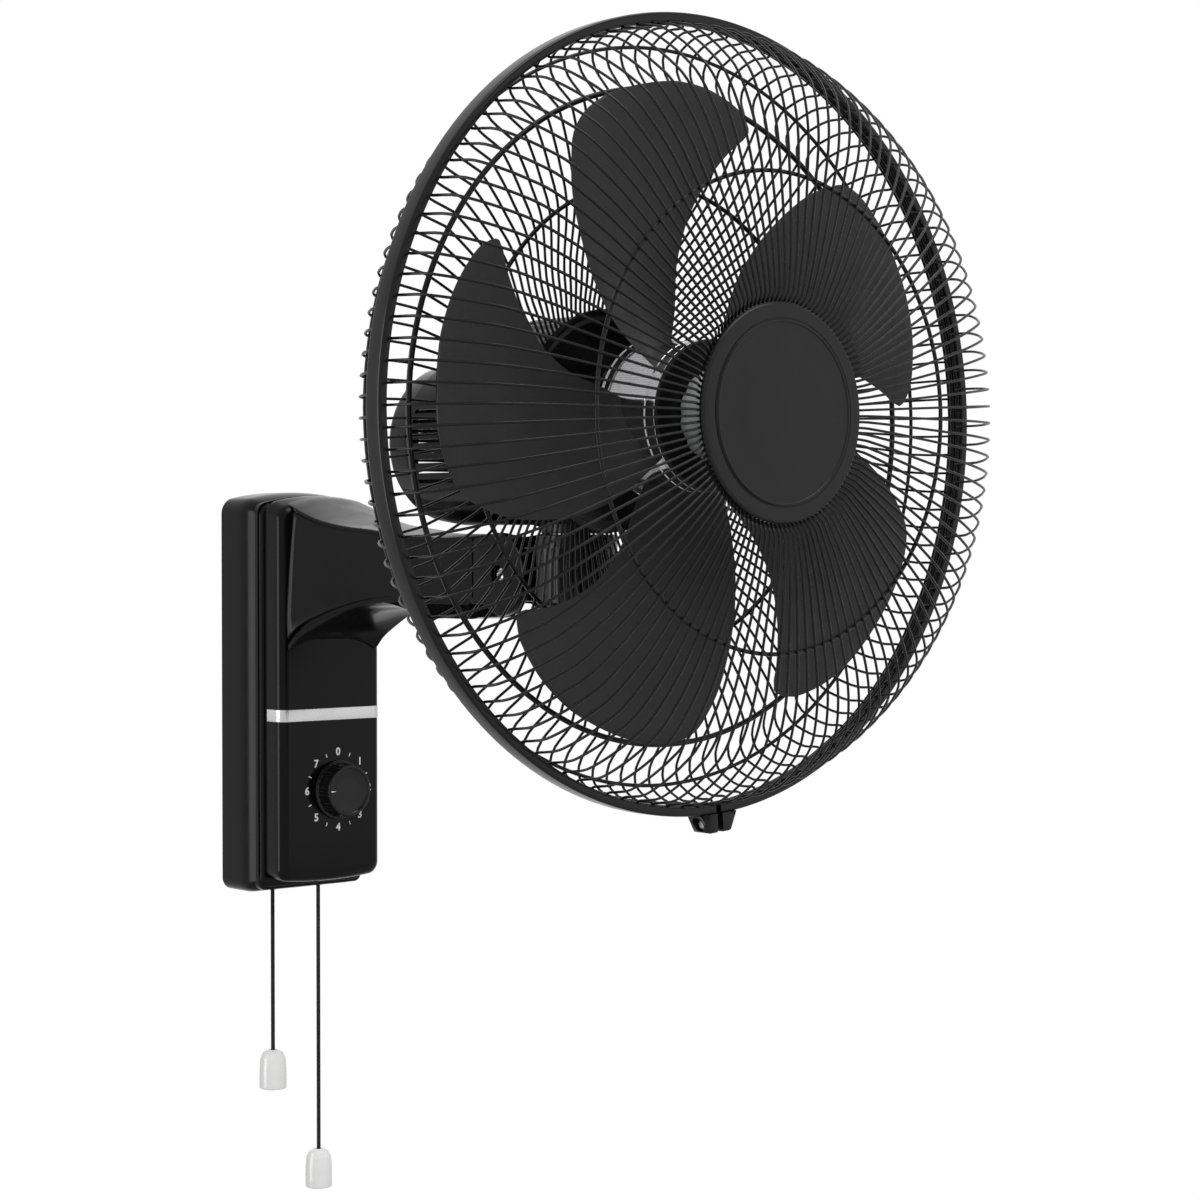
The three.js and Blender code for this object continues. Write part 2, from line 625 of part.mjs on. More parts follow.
const bossBottom = cupTop + 0.4;
const postTop = headZ - motorRadius + 0.5;
const motorFront = rearPlate + 1 + gap;
const motorBack = motorFront + motorLength;
place("swivel_post", rodZ(postRadius, 0, swingY, ceiling - 6, postTop, 20), steel);
place("swivel_nut", cut(
  rodZ(postRadius + 4, 0, swingY, ceiling - 6, ceiling - gap, 6),
  rodZ(postRadius + gap, 0, swingY, ceiling - 20, ceiling + 5, 20),
), zinc);

const motorIn = motorRadius - motorWall;
place("motor_housing", cut(
  join(
    turned([
      [shaftRadius + 5, motorFront - nutLength - 2], [nutRadius - 6, motorFront - nutLength - 2],
      [nutRadius - 6, motorFront], [motorRadius - 4, motorFront], [motorRadius, motorFront + 4],
      [motorRadius, motorBack - 5], [motorIn, motorBack - 5], [motorIn, motorFront + 5],
      [shaftRadius + 5, motorFront + 5],
    ], 36),
    cut(rodZ(bossRadius, 0, swingY, bossBottom, bossBottom + 16, 32),
      turned([[0, 0], [motorRadius - 1, 0], [motorRadius - 1, motorBack + 9], [0, motorBack + 9]], 36)),
  ),
  rodZ(postRadius + gap, 0, swingY, bossBottom - 1, postTop + gap, 20),
), satinBlack);

const shieldFront = motorBack - 5 + gap;
place("motor_end_shield", turned([
  [shaftRadius + 5, shieldFront - 4], [shaftRadius + 9, shieldFront - 4], [shaftRadius + 9, shieldFront],
  [motorRadius, shieldFront], [motorRadius, motorBack - 1], [motorRadius - 3, motorBack],
  [shaftRadius + 5, motorBack],
], 36), satinBlack);

const coverMouth = motorBack + gap;
const coverEnd = coverMouth + rearCoverLength;
const R = rearCoverRadius;
place("motor_rear_cover", solid(turned([
  [R - 2.5, coverMouth], [R, coverMouth], [R, coverEnd - 30], [R - 2, coverEnd - 16], [R - 9, coverEnd - 6],
  [R - 22, coverEnd], [0, coverEnd], [0, coverEnd - 3], [R - 23, coverEnd - 3], [R - 2.5, coverEnd - 30],
  [R - 2.5, coverMouth],
], 32)).translate([0, 0, -rearCoverDrop]), glossBlack);

const coreFront = motorFront + 10;
const coreBack = motorBack - 14;
const coreOut = motorIn - 0.5;
const windingOut = coreOut - 14;
const tube = (inner, outer, y0, y1, sides) => turned([[inner, y0], [outer, y0], [outer, y1], [inner, y1]], sides);
place("stator_core", tube(windingOut + gap, coreOut, coreFront, coreBack, 24), steel);
place("stator_winding", tube(rotorRadius + 4, windingOut, coreFront - 3, coreBack + 4, 24), copper);
place("front_bearing", tube(shaftRadius + gap, shaftRadius + 4.7, motorFront - nutLength, motorFront - nutLength + 8, 16), steel);
place("rear_bearing", tube(shaftRadius + gap, shaftRadius + 4.7, shieldFront - 3, shieldFront + 4, 16), steel);

// ---------------------------------------------------------------- guard

const ringWire = (bandWidth - 2 * bandFlange - 3 * gap) / 2;
const ringOut = guardRadius - bandWall - 0.6;
const ringIn = ringOut - ringWire;
const rimY = bandFlange + gap + ringWire / 2;
const rimBackY = rimY + ringWire + gap;
const wire = wireWidth / 2;
const rim = { half: ringWire / 2, nr: 0, ny: -1 };
const rise = (part) => -frontRise * part;
place("front_grille", lattice([
  { r: ringOut, y: rimY, ...rim, ring: 3 },
  { r: ringIn, y: rimY, ...rim },
  { r: ringIn - 1.4, y: -2, half: wire, nr: 0.99, ny: 0.14 },
  { r: guardRadius * 0.956, y: rise(0.235), half: wire },
  { r: guardRadius * 0.925, y: rise(0.41), half: wire },
  { r: guardRadius * 0.881, y: rise(0.59), half: wire },
  { r: guardRadius * 0.824, y: rise(0.758), half: wire },
  { r: guardRadius * 0.711, y: rise(0.892), half: wire },
  { r: guardRadius * 0.59, y: rise(0.95), half: wire, ring: 2 },
  { r: guardRadius * 0.578, y: rise(0.957), half: wire },
  { r: badgeRadius + 6, y: rise(1) - 0.3, half: wire },
  { r: badgeRadius + 0.5, y: rise(1) + 5, half: wire },
  { r: badgeRadius - 4, y: rise(1) + 5.3, half: wire, nr: 0, ny: -1, ring: 2 },
  { r: badgeRadius - 9, y: rise(1) + 5.3, half: wire, nr: 0, ny: -1 },
]), wirePaint);

place("rear_grille", lattice([
  { r: ringOut, y: rimBackY, ...rim, ring: 3 },
  { r: ringIn, y: rimBackY, ...rim },
  { r: ringIn - 1.4, y: bandWidth + 2, half: wire, nr: -0.99, ny: 0.14 },
  { r: guardRadius * 0.968, y: bandWidth + 9, half: wire },
  { r: guardRadius * 0.952, y: bandWidth + 18, half: wire },
  { r: guardRadius * 0.926, y: bandWidth + 25, half: wire },
  { r: guardRadius * 0.885, y: bandWidth + 25, half: wire },
  { r: guardRadius * 0.836, y: bandWidth + 17.8, half: wire, ring: 2 },
  { r: guardRadius * 0.821, y: bandWidth + 16.6, half: wire },
  { r: guardRadius * 0.7, y: rearPlate * 0.425, half: wire },
  { r: guardRadius * 0.605, y: rearPlate * 0.5, half: wire, ring: 2 },
  { r: guardRadius * 0.59, y: rearPlate * 0.52, half: wire },
  { r: guardRadius * 0.444, y: rearPlate * 0.78, half: wire },
  { r: rearPlateRadius, y: rearPlate, half: wire, nr: 0, ny: -1, ring: 2 },
  { r: nutRadius - 6 + gap + 0.4, y: rearPlate, half: wire, nr: 0, ny: -1 },
]), wirePaint);

place("guard_nut", tube(nutRadius - 6 + gap, nutRadius, rearPlate - 1 - gap - nutLength, rearPlate - 1 - gap, 24), satinBlack);

// The band: a channel bent round both rims, split at its clamp.
const lip = ringIn + 0.9;
const clampGap = 4;
const ears = -guardRadius - earHeight;
const earSpan = [bandWidth / 2 - earLength / 2, bandWidth / 2 + earLength / 2].map((y) => y + front);
const bandRing = new THREE.LatheGeometry([
  [guardRadius, 0], [guardRadius, bandWidth], [lip, bandWidth], [lip, bandWidth - bandFlange],
  [guardRadius - bandWall, bandWidth - bandFlange], [guardRadius - bandWall, bandFlange], [lip, bandFlange],
  [lip, 0], [guardRadius, 0],
].map(([r, y]) => new THREE.Vector2(r, y)), 60).translate(0, front, 0);
const bottomOut = -guardRadius + 1;
const lug = (side) => loft(earSpan.map((y) => [[side * clampGap / 2, y, bottomOut], [side * clampGap / 2, y, ears],
  [side * lugFoot, y, ears], [side * lugRoot, y, bottomOut]]));
const clampScrewZ = -guardRadius - earHeight / 2;
const clampScrewY = front + bandWidth / 2;
const inClamp = (shape) => shape.rotate([0, -clampTurn, 0]).translate([0, 0, headZ]);
place("guard_hoop", inClamp(cut(
  join(bandRing, lug(-1), lug(1)),
  box(-clampGap / 2, clampGap / 2, front - 5, front + bandWidth + 5, ears - 5, -guardRadius + 20),
  rodX(2.4, clampScrewY, clampScrewZ, -20, 20, 12),
  rodX(4.2, clampScrewY, clampScrewZ, -20, -clampGap / 2 - lugFloor, 16),
  rodX(4.2, clampScrewY, clampScrewZ, clampGap / 2 + lugFloor, 20, 16),
)), wirePaint);
const earOut = clampGap / 2 + lugFloor + gap;
place("hoop_screw", inClamp(join(
  rodX(3.8, clampScrewY, clampScrewZ, -earOut - 2.6, -earOut, 16),
  rodX(2, clampScrewY, clampScrewZ, -earOut - 1, earOut + 3.6, 12),
)), zinc);
place("hoop_nut", inClamp(cut(
  rodX(3.8, clampScrewY, clampScrewZ, earOut, earOut + 2.8, 6),
  rodX(2.4, clampScrewY, clampScrewZ, 0, 50, 12),
)), zinc);

const badgeBack = rise(1) + 5.3 - wire - gap;
place("front_badge", turned([
  [0, badgeBack], [badgeRadius, badgeBack], [badgeRadius, rise(1) + 1.2], [badgeRadius - 0.8, rise(1) + 0.6],
  [badgeDiscRadius + 1, rise(1)], [badgeDiscRadius + 0.5, rise(1) + 0.9], [badgeDiscRadius, rise(1) - 0.4],
  [badgeDiscRadius * 0.6, rise(1) - 1.7], [0, rise(1) - 2.4],
], 40), satinBlack);

// ---------------------------------------------------------------- rotor, hub and blades

const hubFront = -hubRise;
const hubBack = hubFront + hubDepth;
const bore = shaftRadius + gap;
place("motor_shaft", turned([
  [0, hubFront - 6], [shaftRadius, hubFront - 6], [shaftRadius, shieldFront + 4], [0, shieldFront + 4],
], 20), steel);
place("rotor_core", tube(bore, rotorRadius, coreFront + 1, coreBack - 1, 24), steel);
place("hub_barrel", turned([
  [bore, hubFront + 2 + gap], [hubRadius, hubFront + 2 + gap], [hubRadius, hubFront + 9.4],
  [hubRadius - 0.8, hubFront + 10], [hubRadius, hubFront + 10.6], [hubRadius, hubBack - 3],
  [hubRadius + 3, hubBack - 2.4], [hubRadius + 3, hubBack], [hubRadius - 2.5, hubBack],
  [hubRadius - 2.5, hubFront + 5.3], [shaftRadius + 5, hubFront + 5.3], [shaftRadius + 5, hubBack - 12],
  [bore, hubBack - 12],
], 28), brightTrim);
place("hub_face", tube(bore, hubRadius, hubFront, hubFront + 2, 28), satinBlack);
const spinnerBack = hubFront - gap;
place("spinner_nut", turned([
  [0, spinnerBack - spinnerLength], [spinnerRadius * 0.45, spinnerBack - spinnerLength + 1],
  [spinnerRadius * 0.8, spinnerBack - spinnerLength * 0.75], [spinnerRadius, spinnerBack - spinnerLength * 0.3],
  [spinnerRadius, spinnerBack], [bore, spinnerBack], [bore, spinnerBack - 6], [0, spinnerBack - 6],
], 24), greyPlastic);

// Leading and trailing edges of one blade by radius, in degrees from its own direction.
const leading = [[43.6, -7], [60, -8], [80, -7.5], [105, -10], [133, -16], [155, -21.8], [168, -25.2], [177, -22], [183, -15.2], [186.8, -6]];
const trailing = [[43.6, 44], [60, 44], [80, 42.5], [105, 38.5], [133, 33], [155, 28.5], [168, 25.1], [177, 22.4], [183, 18.5], [186.8, 11]];
const heights = [[43.6, 24], [80, 17.2], [130, 12.1], [175, 7.2], [183, 4.5], [187, 2]];
const middles = [[43.6, 9.8], [80, 7.3], [130, 2.8], [168, 0.4], [187, 1.2]];
const bladeRoot = hubRadius + 0.6;
function blade(number) {
  const base = ((number - 1) * 360) / bladeCount + bladeTurn;
  const chordSteps = 4;
  const sections = leading.map(([known, lead], i) => {
    const r = bladeRoot + ((known - 43.6) / (187 - 43.6)) * (bladeTip - bladeRoot);
    const trail = trailing[i][1];
    const row = [];
    for (const side of [1, -1]) {
      for (let k = 0; k <= chordSteps; k++) {
        const u = side > 0 ? k / chordSteps : 1 - k / chordSteps;
        const angle = ((base + lead + (trail - lead) * u) * Math.PI) / 180;
        const bow = 4 * u * (1 - u) * (2 + 2 * (1 - i / leading.length));
        const thick = (bladeThickness / 2) * (0.6 + 0.4 * Math.sin(Math.PI * u));
        const y = along(middles, known) + along(heights, known) * (0.5 - u) + bow + side * thick;
        row.push([r * Math.cos(angle), front + y, headZ + r * Math.sin(angle)]);
      }
    }
    return row;
  });
  return loft(sections);
}
for (let number = 1; number <= bladeCount; number++) place(`blade_${number}`, blade(number), bladeGrey);

export default fan;
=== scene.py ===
import math

import bmesh
import bpy
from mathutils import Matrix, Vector


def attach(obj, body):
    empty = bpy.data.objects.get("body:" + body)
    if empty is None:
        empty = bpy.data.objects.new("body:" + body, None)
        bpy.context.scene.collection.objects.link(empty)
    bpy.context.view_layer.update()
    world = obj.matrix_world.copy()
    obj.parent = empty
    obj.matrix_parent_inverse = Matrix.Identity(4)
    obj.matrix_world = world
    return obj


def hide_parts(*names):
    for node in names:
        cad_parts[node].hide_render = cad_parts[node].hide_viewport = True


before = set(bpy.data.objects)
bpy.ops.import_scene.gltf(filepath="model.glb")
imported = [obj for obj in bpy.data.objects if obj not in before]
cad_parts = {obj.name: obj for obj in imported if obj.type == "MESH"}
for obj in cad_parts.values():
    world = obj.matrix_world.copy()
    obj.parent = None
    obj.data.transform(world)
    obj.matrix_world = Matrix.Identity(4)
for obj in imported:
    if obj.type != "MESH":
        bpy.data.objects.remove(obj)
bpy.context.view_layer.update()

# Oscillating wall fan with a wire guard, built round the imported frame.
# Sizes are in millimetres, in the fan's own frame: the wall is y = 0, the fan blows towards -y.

MM = 0.001

# ---------------------------------------------------------------- camera
# A long lens stands to the left of the fan and well in front of the wall, level with the arm,
# so the box shows its left side and the guard shows its front at a slant.

camera_data = bpy.data.cameras.new("camera")
camera_data.sensor_width = 36
camera_data.lens = 84
camera = bpy.data.objects.new("camera", camera_data)
bpy.context.scene.collection.objects.link(camera)
camera.location = (-1.0781, -1.5642, 0.1038)
camera.rotation_euler = Vector((0.6582, 0.7524, -0.0233)).to_track_quat("-Z", "Y").to_euler()
bpy.context.scene.camera = camera

# ---------------------------------------------------------------- pull cords
# Two thin braided cords hang from the switches through bushes in the underside of the wall box.
# Each is a round polyester braid over a core, knotted out of sight inside its pendant.


def surface_finish(name, colour, rough, grain=900.0, depth=0.02, metallic=0.0, coat=0.0,
                   mottle=0.12, stretch=(1.0, 1.0, 1.0), specular=0.5):
    """A finish whose grain, shade and gloss vary a little over the piece; depth is in mm."""
    material = bpy.data.materials.new(name)
    material.use_nodes = True
    nodes, links = material.node_tree.nodes, material.node_tree.links
    shader = nodes["Principled BSDF"]
    shader.inputs["Metallic"].default_value = metallic
    shader.inputs["Coat Weight"].default_value = coat
    shader.inputs["Coat Roughness"].default_value = 0.06
    shader.inputs["Specular IOR Level"].default_value = specular
    place = nodes.new("ShaderNodeTexCoord")
    stretched = nodes.new("ShaderNodeMapping")
    stretched.inputs["Scale"].default_value = stretch
    links.new(place.outputs["Object"], stretched.inputs["Vector"])

    def noise(scale, detail):
        node = nodes.new("ShaderNodeTexNoise")
        node.inputs["Scale"].default_value = scale
        node.inputs["Detail"].default_value = detail
        links.new(stretched.outputs["Vector"], node.inputs["Vector"])
        return node.outputs["Fac"]

    bump = nodes.new("ShaderNodeBump")
    bump.inputs["Strength"].default_value = 0.6
    bump.inputs["Distance"].default_value = depth * MM
    links.new(noise(grain, 3), bump.inputs["Height"])
    links.new(bump.outputs["Normal"], shader.inputs["Normal"])
    shade = nodes.new("ShaderNodeValToRGB")
    noise_low, noise_high = 0.3, 0.7
    for stop, at, lift in zip(shade.color_ramp.elements, (noise_low, noise_high),
                              (1 - mottle, 1 + mottle)):
        stop.position = at
        stop.color = tuple(min(c * lift, 1) for c in colour) + (1,)
    links.new(noise(35, 4), shade.inputs["Fac"])
    links.new(shade.outputs["Color"], shader.inputs["Base Color"])
    gloss = nodes.new("ShaderNodeMapRange")
    gloss.inputs["From Min"].default_value = noise_low
    gloss.inputs["From Max"].default_value = noise_high
    gloss.inputs["To Min"].default_value = rough * 0.85
    gloss.inputs["To Max"].default_value = min(rough * 1.2, 1)
    links.new(noise(70, 5), gloss.inputs["Value"])
    links.new(gloss.outputs["Result"], shader.inputs["Roughness"])
    return material


def new_mesh(name, verts, faces):
    """A mesh of points given in millimetres, with its faces turned outwards."""
    mesh = bpy.data.meshes.new(name)
    mesh.from_pydata([(x * MM, y * MM, z * MM) for x, y, z in verts], [], faces)
    shell = bmesh.new()
    shell.from_mesh(mesh)
    bmesh.ops.recalc_face_normals(shell, faces=shell.faces)
    shell.to_mesh(mesh)
    shell.free()
    return mesh


def build_piece(name, verts, faces, finish, body, slot, stands_for=(), sharp=35):
    """A finished piece that rides on a body; edges bent by more than sharp degrees stay crisp."""
    mesh = new_mesh(name, verts, faces)
    mesh.shade_smooth()
    mesh.set_sharp_from_angle(angle=math.radians(sharp))
    mesh.materials.append(finish)
    piece = bpy.data.objects.new(name, mesh)
    bpy.context.scene.collection.objects.link(piece)
    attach(piece, body)
    if stands_for:
        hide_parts(*stands_for)
    return piece


def skin(rings, closed=False):
    """Faces between rings of equally many points; ends are capped unless the rings close."""
    count = len(rings[0])
    verts = [point for ring in rings for point in ring]
    faces = []
    last = len(rings) if closed else len(rings) - 1
    for s in range(last):
        a, b = s * count, (s + 1) % len(rings) * count
        for i in range(count):
            j = (i + 1) % count
            faces.append((a + i, a + j, b + j, b + i))
    if not closed:
        faces.append(tuple(range(count)))
        faces.append(tuple((len(rings) - 1) * count + i for i in range(count)))
    return verts, faces


cord_x, cord_y = 18.5, -22.0
cord_top = -115.1
cord_radius = 1.35
pendant_tops = {"left": -239.0, "right": -310.5}
knot_depth = 5.0
plait_sides, plait_step, plait_deep = 16, 0.9, 0.05
both_sides = (("left", -1), ("right", 1))
braid_black = surface_finish("braided cord", (0.008, 0.008, 0.009), 0.7, 2600, 0.05, mottle=0.3,
                             specular=0.25)
for side, sign in both_sides:
    x, low = sign * cord_x, pendant_tops[side] - knot_depth
    steps = round((cord_top - low) / plait_step)
    rings = []
    for k in range(steps + 1):
        z = cord_top + (low - cord_top) * k / steps
        ring = []
        for i in range(plait_sides):
            a = math.tau * i / plait_sides
            wave = math.sin(8 * math.tau * i / plait_sides + k * math.pi / 2)
            r = cord_radius * (1 - plait_deep * (1 + wave) / 2)
            ring.append((x + r * math.cos(a), cord_y + r * math.sin(a), z))
        rings.append(ring)
    build_piece("cord_" + side, *skin(rings), braid_black, "pull_" + side,
                              "cord_black", ["pull_cord_" + side], sharp=60)

# ---------------------------------------------------------------- pendants
# Each cord ends in a smooth white moulded pull with a domed top, hollow under its knot.


def turn(profile, finish, name, body, slot, stands_for, centre, axis, sides, sharp=35, flute=None):
    """A profile of (radius, place along the axis) points turned about an axis through centre.

    A profile that starts off the axis is a closed tube; flute(angle, place) scales the radius."""
    rings = []
    for r, h in profile:
        ring = []
        for i in range(sides):
            a = math.tau * i / sides
            rr = max(r, 1e-4) * (flute(a, h) if flute else 1)
            u, v = rr * math.cos(a), rr * math.sin(a)
            p = {"X": (h, centre[0] + u, centre[1] + v), "Y": (centre[0] + u, h, centre[1] + v),
                 "Z": (centre[0] + u, centre[1] + v, h)}[axis]
            ring.append(p)
        rings.append(ring)
    looped = profile[0][0] > 0.01
    verts, faces = skin(rings, closed=looped)
    return build_piece(name, verts, faces, finish, body, slot, stands_for, sharp)


def eased(points, radius, steps=4, closed=False):
    """Rounds the corners of a line of points, each by radius or as far as its sides allow."""
    out = []
    n = len(points)
    for i, p in enumerate(points):
        if not closed and i in (0, n - 1):
            out.append(p)
            continue
        r = radius[i] if isinstance(radius, (list, tuple)) else radius
        p = Vector(p)
        to_last, to_next = Vector(points[i - 1]) - p, Vector(points[(i + 1) % n]) - p
        if r <= 0 or to_last.length < 1e-6 or to_next.length < 1e-6:
            out += [tuple(p)] * (steps + 1)
            continue
        half = to_last.angle(to_next) / 2
        back = min(r / max(math.tan(half), 1e-3), to_last.length * 0.45, to_next.length * 0.45)
        a, b = p + to_last.normalized() * back, p + to_next.normalized() * back
        for k in range(steps + 1):
            t = k / steps
            out.append(tuple(a * (1 - t) ** 2 + p * (2 * t * (1 - t)) + b * t ** 2))
    return out


pendant_white = surface_finish("white moulded pull", (0.83, 0.83, 0.82), 0.3, 500, 0.01,
                               coat=0.25, mottle=0.015)
for side, sign in both_sides:
    top = pendant_tops[side]
    w, tall = 9.0, 26.0
    bell = eased([(1.75, top - 6), (1.75, top - 0.1), (3.2, top), (6.6, top - 1.9), (8.3, top - 5.5),
                  (8.9, top - 12), (w, top - 20), (w, top - tall + 0.6), (w - 1.0, top - tall),
                  (w - 1.9, top - tall + 0.4), (w - 2.2, top - 9), (4.0, top - 7.4)], 1.2, closed=True)
    pull = turn(bell, pendant_white, "pull_" + side + "_pendant", "pull_" + side, "pendant_white",
                ["pendant_" + side], (sign * cord_x, cord_y), "Z", 64, 50)
    low = top - knot_depth

# ---------------------------------------------------------------- pull switches and bushes
# Inside the box each cord works a small rotary pull switch with a sprung lever.
# A black bush snapped into the underside keeps the cord off the edge of its hole.


def dress(finish, *nodes):
    """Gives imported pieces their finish."""
    for node in nodes:
        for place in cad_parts[node].material_slots:
            place.material = finish


pale_plastic = surface_finish("unpainted moulding", (0.62, 0.6, 0.54), 0.5, 400, 0.02, mottle=0.05)
dress(pale_plastic, "speed_switch", "swing_switch", "pull_lever_left", "pull_lever_right",
      "timer_switch", "terminal_block")
bush_black = surface_finish("black bush moulding", (0.006, 0.006, 0.0065), 0.42, 700, 0.02,
                            specular=0.2)
for side, sign in both_sides:
    turn(eased([(1.95, -131.6), (1.95, -127.6), (5.5, -127.5), (5.5, -129.2), (3.55, -129.25),
                (3.55, -132.0), (2.6, -132.0)], 0.4, closed=True),
         bush_black, "bush_" + side, "wall_unit", "satin_black", ["cord_bush_" + side],
         (sign * cord_x, cord_y), "Z", 48)

# ---------------------------------------------------------------- wall bracket and screws
# A zinc plated steel plate is screwed to the wall first, and the box hooks on to its tabs.

zinc_plate = surface_finish("zinc plated steel", (0.52, 0.53, 0.55), 0.32, 160, 0.015, metallic=1.0,
                            mottle=0.12)
bare_steel = surface_finish("bare steel", (0.36, 0.37, 0.39), 0.34, 220, 0.02, metallic=1.0,
                            stretch=(1, 1, 8))
dress(zinc_plate, "wall_bracket", "arm_core_screw_1", "arm_core_screw_2", "swing_motor", "swivel_nut")
dress(bare_steel, "wall_screw_1", "wall_screw_2", "wall_screw_3", "timer_spindle")

# ---------------------------------------------------------------- rear housing
# The deep back half of the wall box, moulded in gloss black with softly rounded edges.
# It carries the switches, the capacitor and the steel arm core on its back wall.


def plate_outline(half, low, high, corner, y, top_bow=0.0, low_bow=0.0, steps=7):
    """A rounded rectangle seen from the front; its top and bottom edges may bow outwards."""
    ring = []
    for cx, cz, start in ((half - corner, low + corner, -90), (half - corner, high - corner, 0),
                          (-half + corner, high - corner, 90), (-half + corner, low + corner, 180)):
        for k in range(steps + 1):
            a = math.radians(start + 90 * k / steps)
            ring.append((cx + corner * math.cos(a), y, cz + corner * math.sin(a)))
        # points along the top and bottom edges, so that they can bow
        if start in (0, 180):
            sign = 1 if start == 0 else -1
            for k in range(1, 10):
                ring.append((sign * (half - corner) * (1 - k / 5), y, high if start == 0 else low))
    bowed = []
    for x, y, z in ring:
        swell = 1 - (x / half) ** 2
        if z > high - corner - 0.01:
            z += top_bow * swell
        elif z < low + corner + 0.01:
            z -= low_bow * swell
        bowed.append((x, y, z))
    return bowed


gloss_black = surface_finish("gloss black moulding", (0.0026, 0.0026, 0.0028), 0.15, 180, 0.004,
                             mottle=0.08, specular=0.1)
box_half, box_low, box_high, box_depth, box_crown = 44.0, -132.0, 126.0, 42.0, 6.0
# from side_start the sides curve inwards by side_turn degrees, then roll over on to the front
side_start, side_curve, side_turn, front_roll = -21, 45.6, 26, 1.8
side_steps, roll_steps = 8, 4
rings = [plate_outline(41.5, -129.5, 123.5, 5.5, -5.0, box_crown),
         plate_outline(41.5, -129.5, 123.5, 5.5, -0.6, box_crown),
         plate_outline(41.8, -129.8, 123.8, 5.8, -0.3, box_crown),
         plate_outline(43.6, -131.6, 125.6, 7.6, -0.3, box_crown),
         plate_outline(box_half, box_low, box_high, 8, -0.8, box_crown)]
for k in range(side_steps + roll_steps + 1):
    turned = math.radians(side_turn * min(k, side_steps) / side_steps)
    y, inset = side_start - side_curve * math.sin(turned), side_curve * (1 - math.cos(turned))
    if k > side_steps:
        a = math.radians(side_turn + (90 - side_turn) * (k - side_steps) / roll_steps)
        y -= front_roll * (math.sin(a) - math.sin(turned))
        inset += front_roll * (math.cos(turned) - math.cos(a))
    rings.append(plate_outline(box_half - inset, box_low + inset, box_high - inset,
                               max(8 - inset * 0.5, 2), max(y, -box_depth), box_crown))
rings += [plate_outline(34.3, -118, 119, 3, -box_depth, 4.5),
          plate_outline(34.3, -118, 119, 3, -39.5, 4.5),
          plate_outline(41.4, -129.4, 123.4, 5.4, -39.2, box_crown),
          plate_outline(41.4, -129.4, 123.4, 5.4, -7.5, box_crown)]
build_piece("rear_case", *skin(rings), gloss_black, "wall_unit", "gloss_black", ["rear_housing"])

# ---------------------------------------------------------------- front cover
# A shallower gloss shell screwed on from inside, standing off the back half by a dark groove.
# Its face is flat. Its crowned top slopes down to the front and its bottom edge bows out a little.

face_y, cover_half = -64.0, 40.0
cover_low, cover_high, cover_crown, cover_bow = -121.6, 124.6, 4.9, 2.4
cover_back, edge = -48.1, 6.0
rings = [plate_outline(35.8, -118, 119.4, 2.5, -61.8, 4.2),
         plate_outline(35.8, -118, 119.4, 2.5, -42.3, 4.2),
         plate_outline(38, -120, 121.4, 3, -42.3, 4.2), plate_outline(38, -120, 121.4, 3, -47.4, 4.2),
         plate_outline(39.4, cover_low + 0.6, cover_high - 0.6, 6.4, -47.5, cover_crown, cover_bow),
         plate_outline(cover_half, cover_low, cover_high, 7, cover_back, cover_crown, cover_bow)]
for k in range(13):
    a = math.radians(90 * (k - 4) / 8)
    y = cover_back - 2.475 * k if k < 4 else face_y + edge - edge * math.sin(a)
    inset = edge * (1 - math.cos(a)) if k > 4 else 0
    slope = (cover_back - y) / (cover_back - face_y)
    rings.append(plate_outline(cover_half - inset, cover_low + inset, cover_high - 6 * slope - inset * 0.5,
                               max(7 - inset * 0.4, 3), y, cover_crown + 3.6 * slope, cover_bow))
build_piece("face_cover", *skin(rings), gloss_black, "wall_unit", "gloss_black", ["front_cover"])

# ---------------------------------------------------------------- silver strip
# A bright plated band let into the cover, wrapped round its two front edges.

bright_trim = surface_finish("bright plated trim", (0.5, 0.5, 0.5), 0.28, 1100, 0.012, metallic=0.85,
                             mottle=0.05)
path = [((-cover_half, -48.0), (-1, 0))]
for corner, start in ((-1, 180), (1, 270)):
    for k in range(9):
        a = math.radians(start + 90 * k / 8)
        centre = (corner * (cover_half - edge), face_y + edge)
        path.append(((centre[0] + edge * math.cos(a), centre[1] + edge * math.sin(a)),
                     (math.cos(a), math.sin(a))))
path.append(((cover_half, -48.0), (1, 0)))
strip_low, strip_high = -18, -10
strip_section = eased([(-0.9, strip_low), (-0.9, strip_high), (0.38, strip_high), (0.38, strip_low)],
                      0.35, 3, closed=True)
rings = [[(p[0] + n[0] * out, p[1] + n[1] * out, z) for out, z in strip_section] for p, n in path]
build_piece("silver_strip", *skin(rings), bright_trim, "wall_unit", "bright_trim", ["trim_strip"],
            sharp=50)

# ---------------------------------------------------------------- dial marks
# Numerals and ticks printed in white on the cover round the timer knob.


def several(shapes):
    """Joins (points, faces) shapes into one."""
    verts, faces = [], []
    for points, polygons in shapes:
        faces += [tuple(i + len(verts) for i in polygon) for polygon in polygons]
        verts += points
    return verts, faces


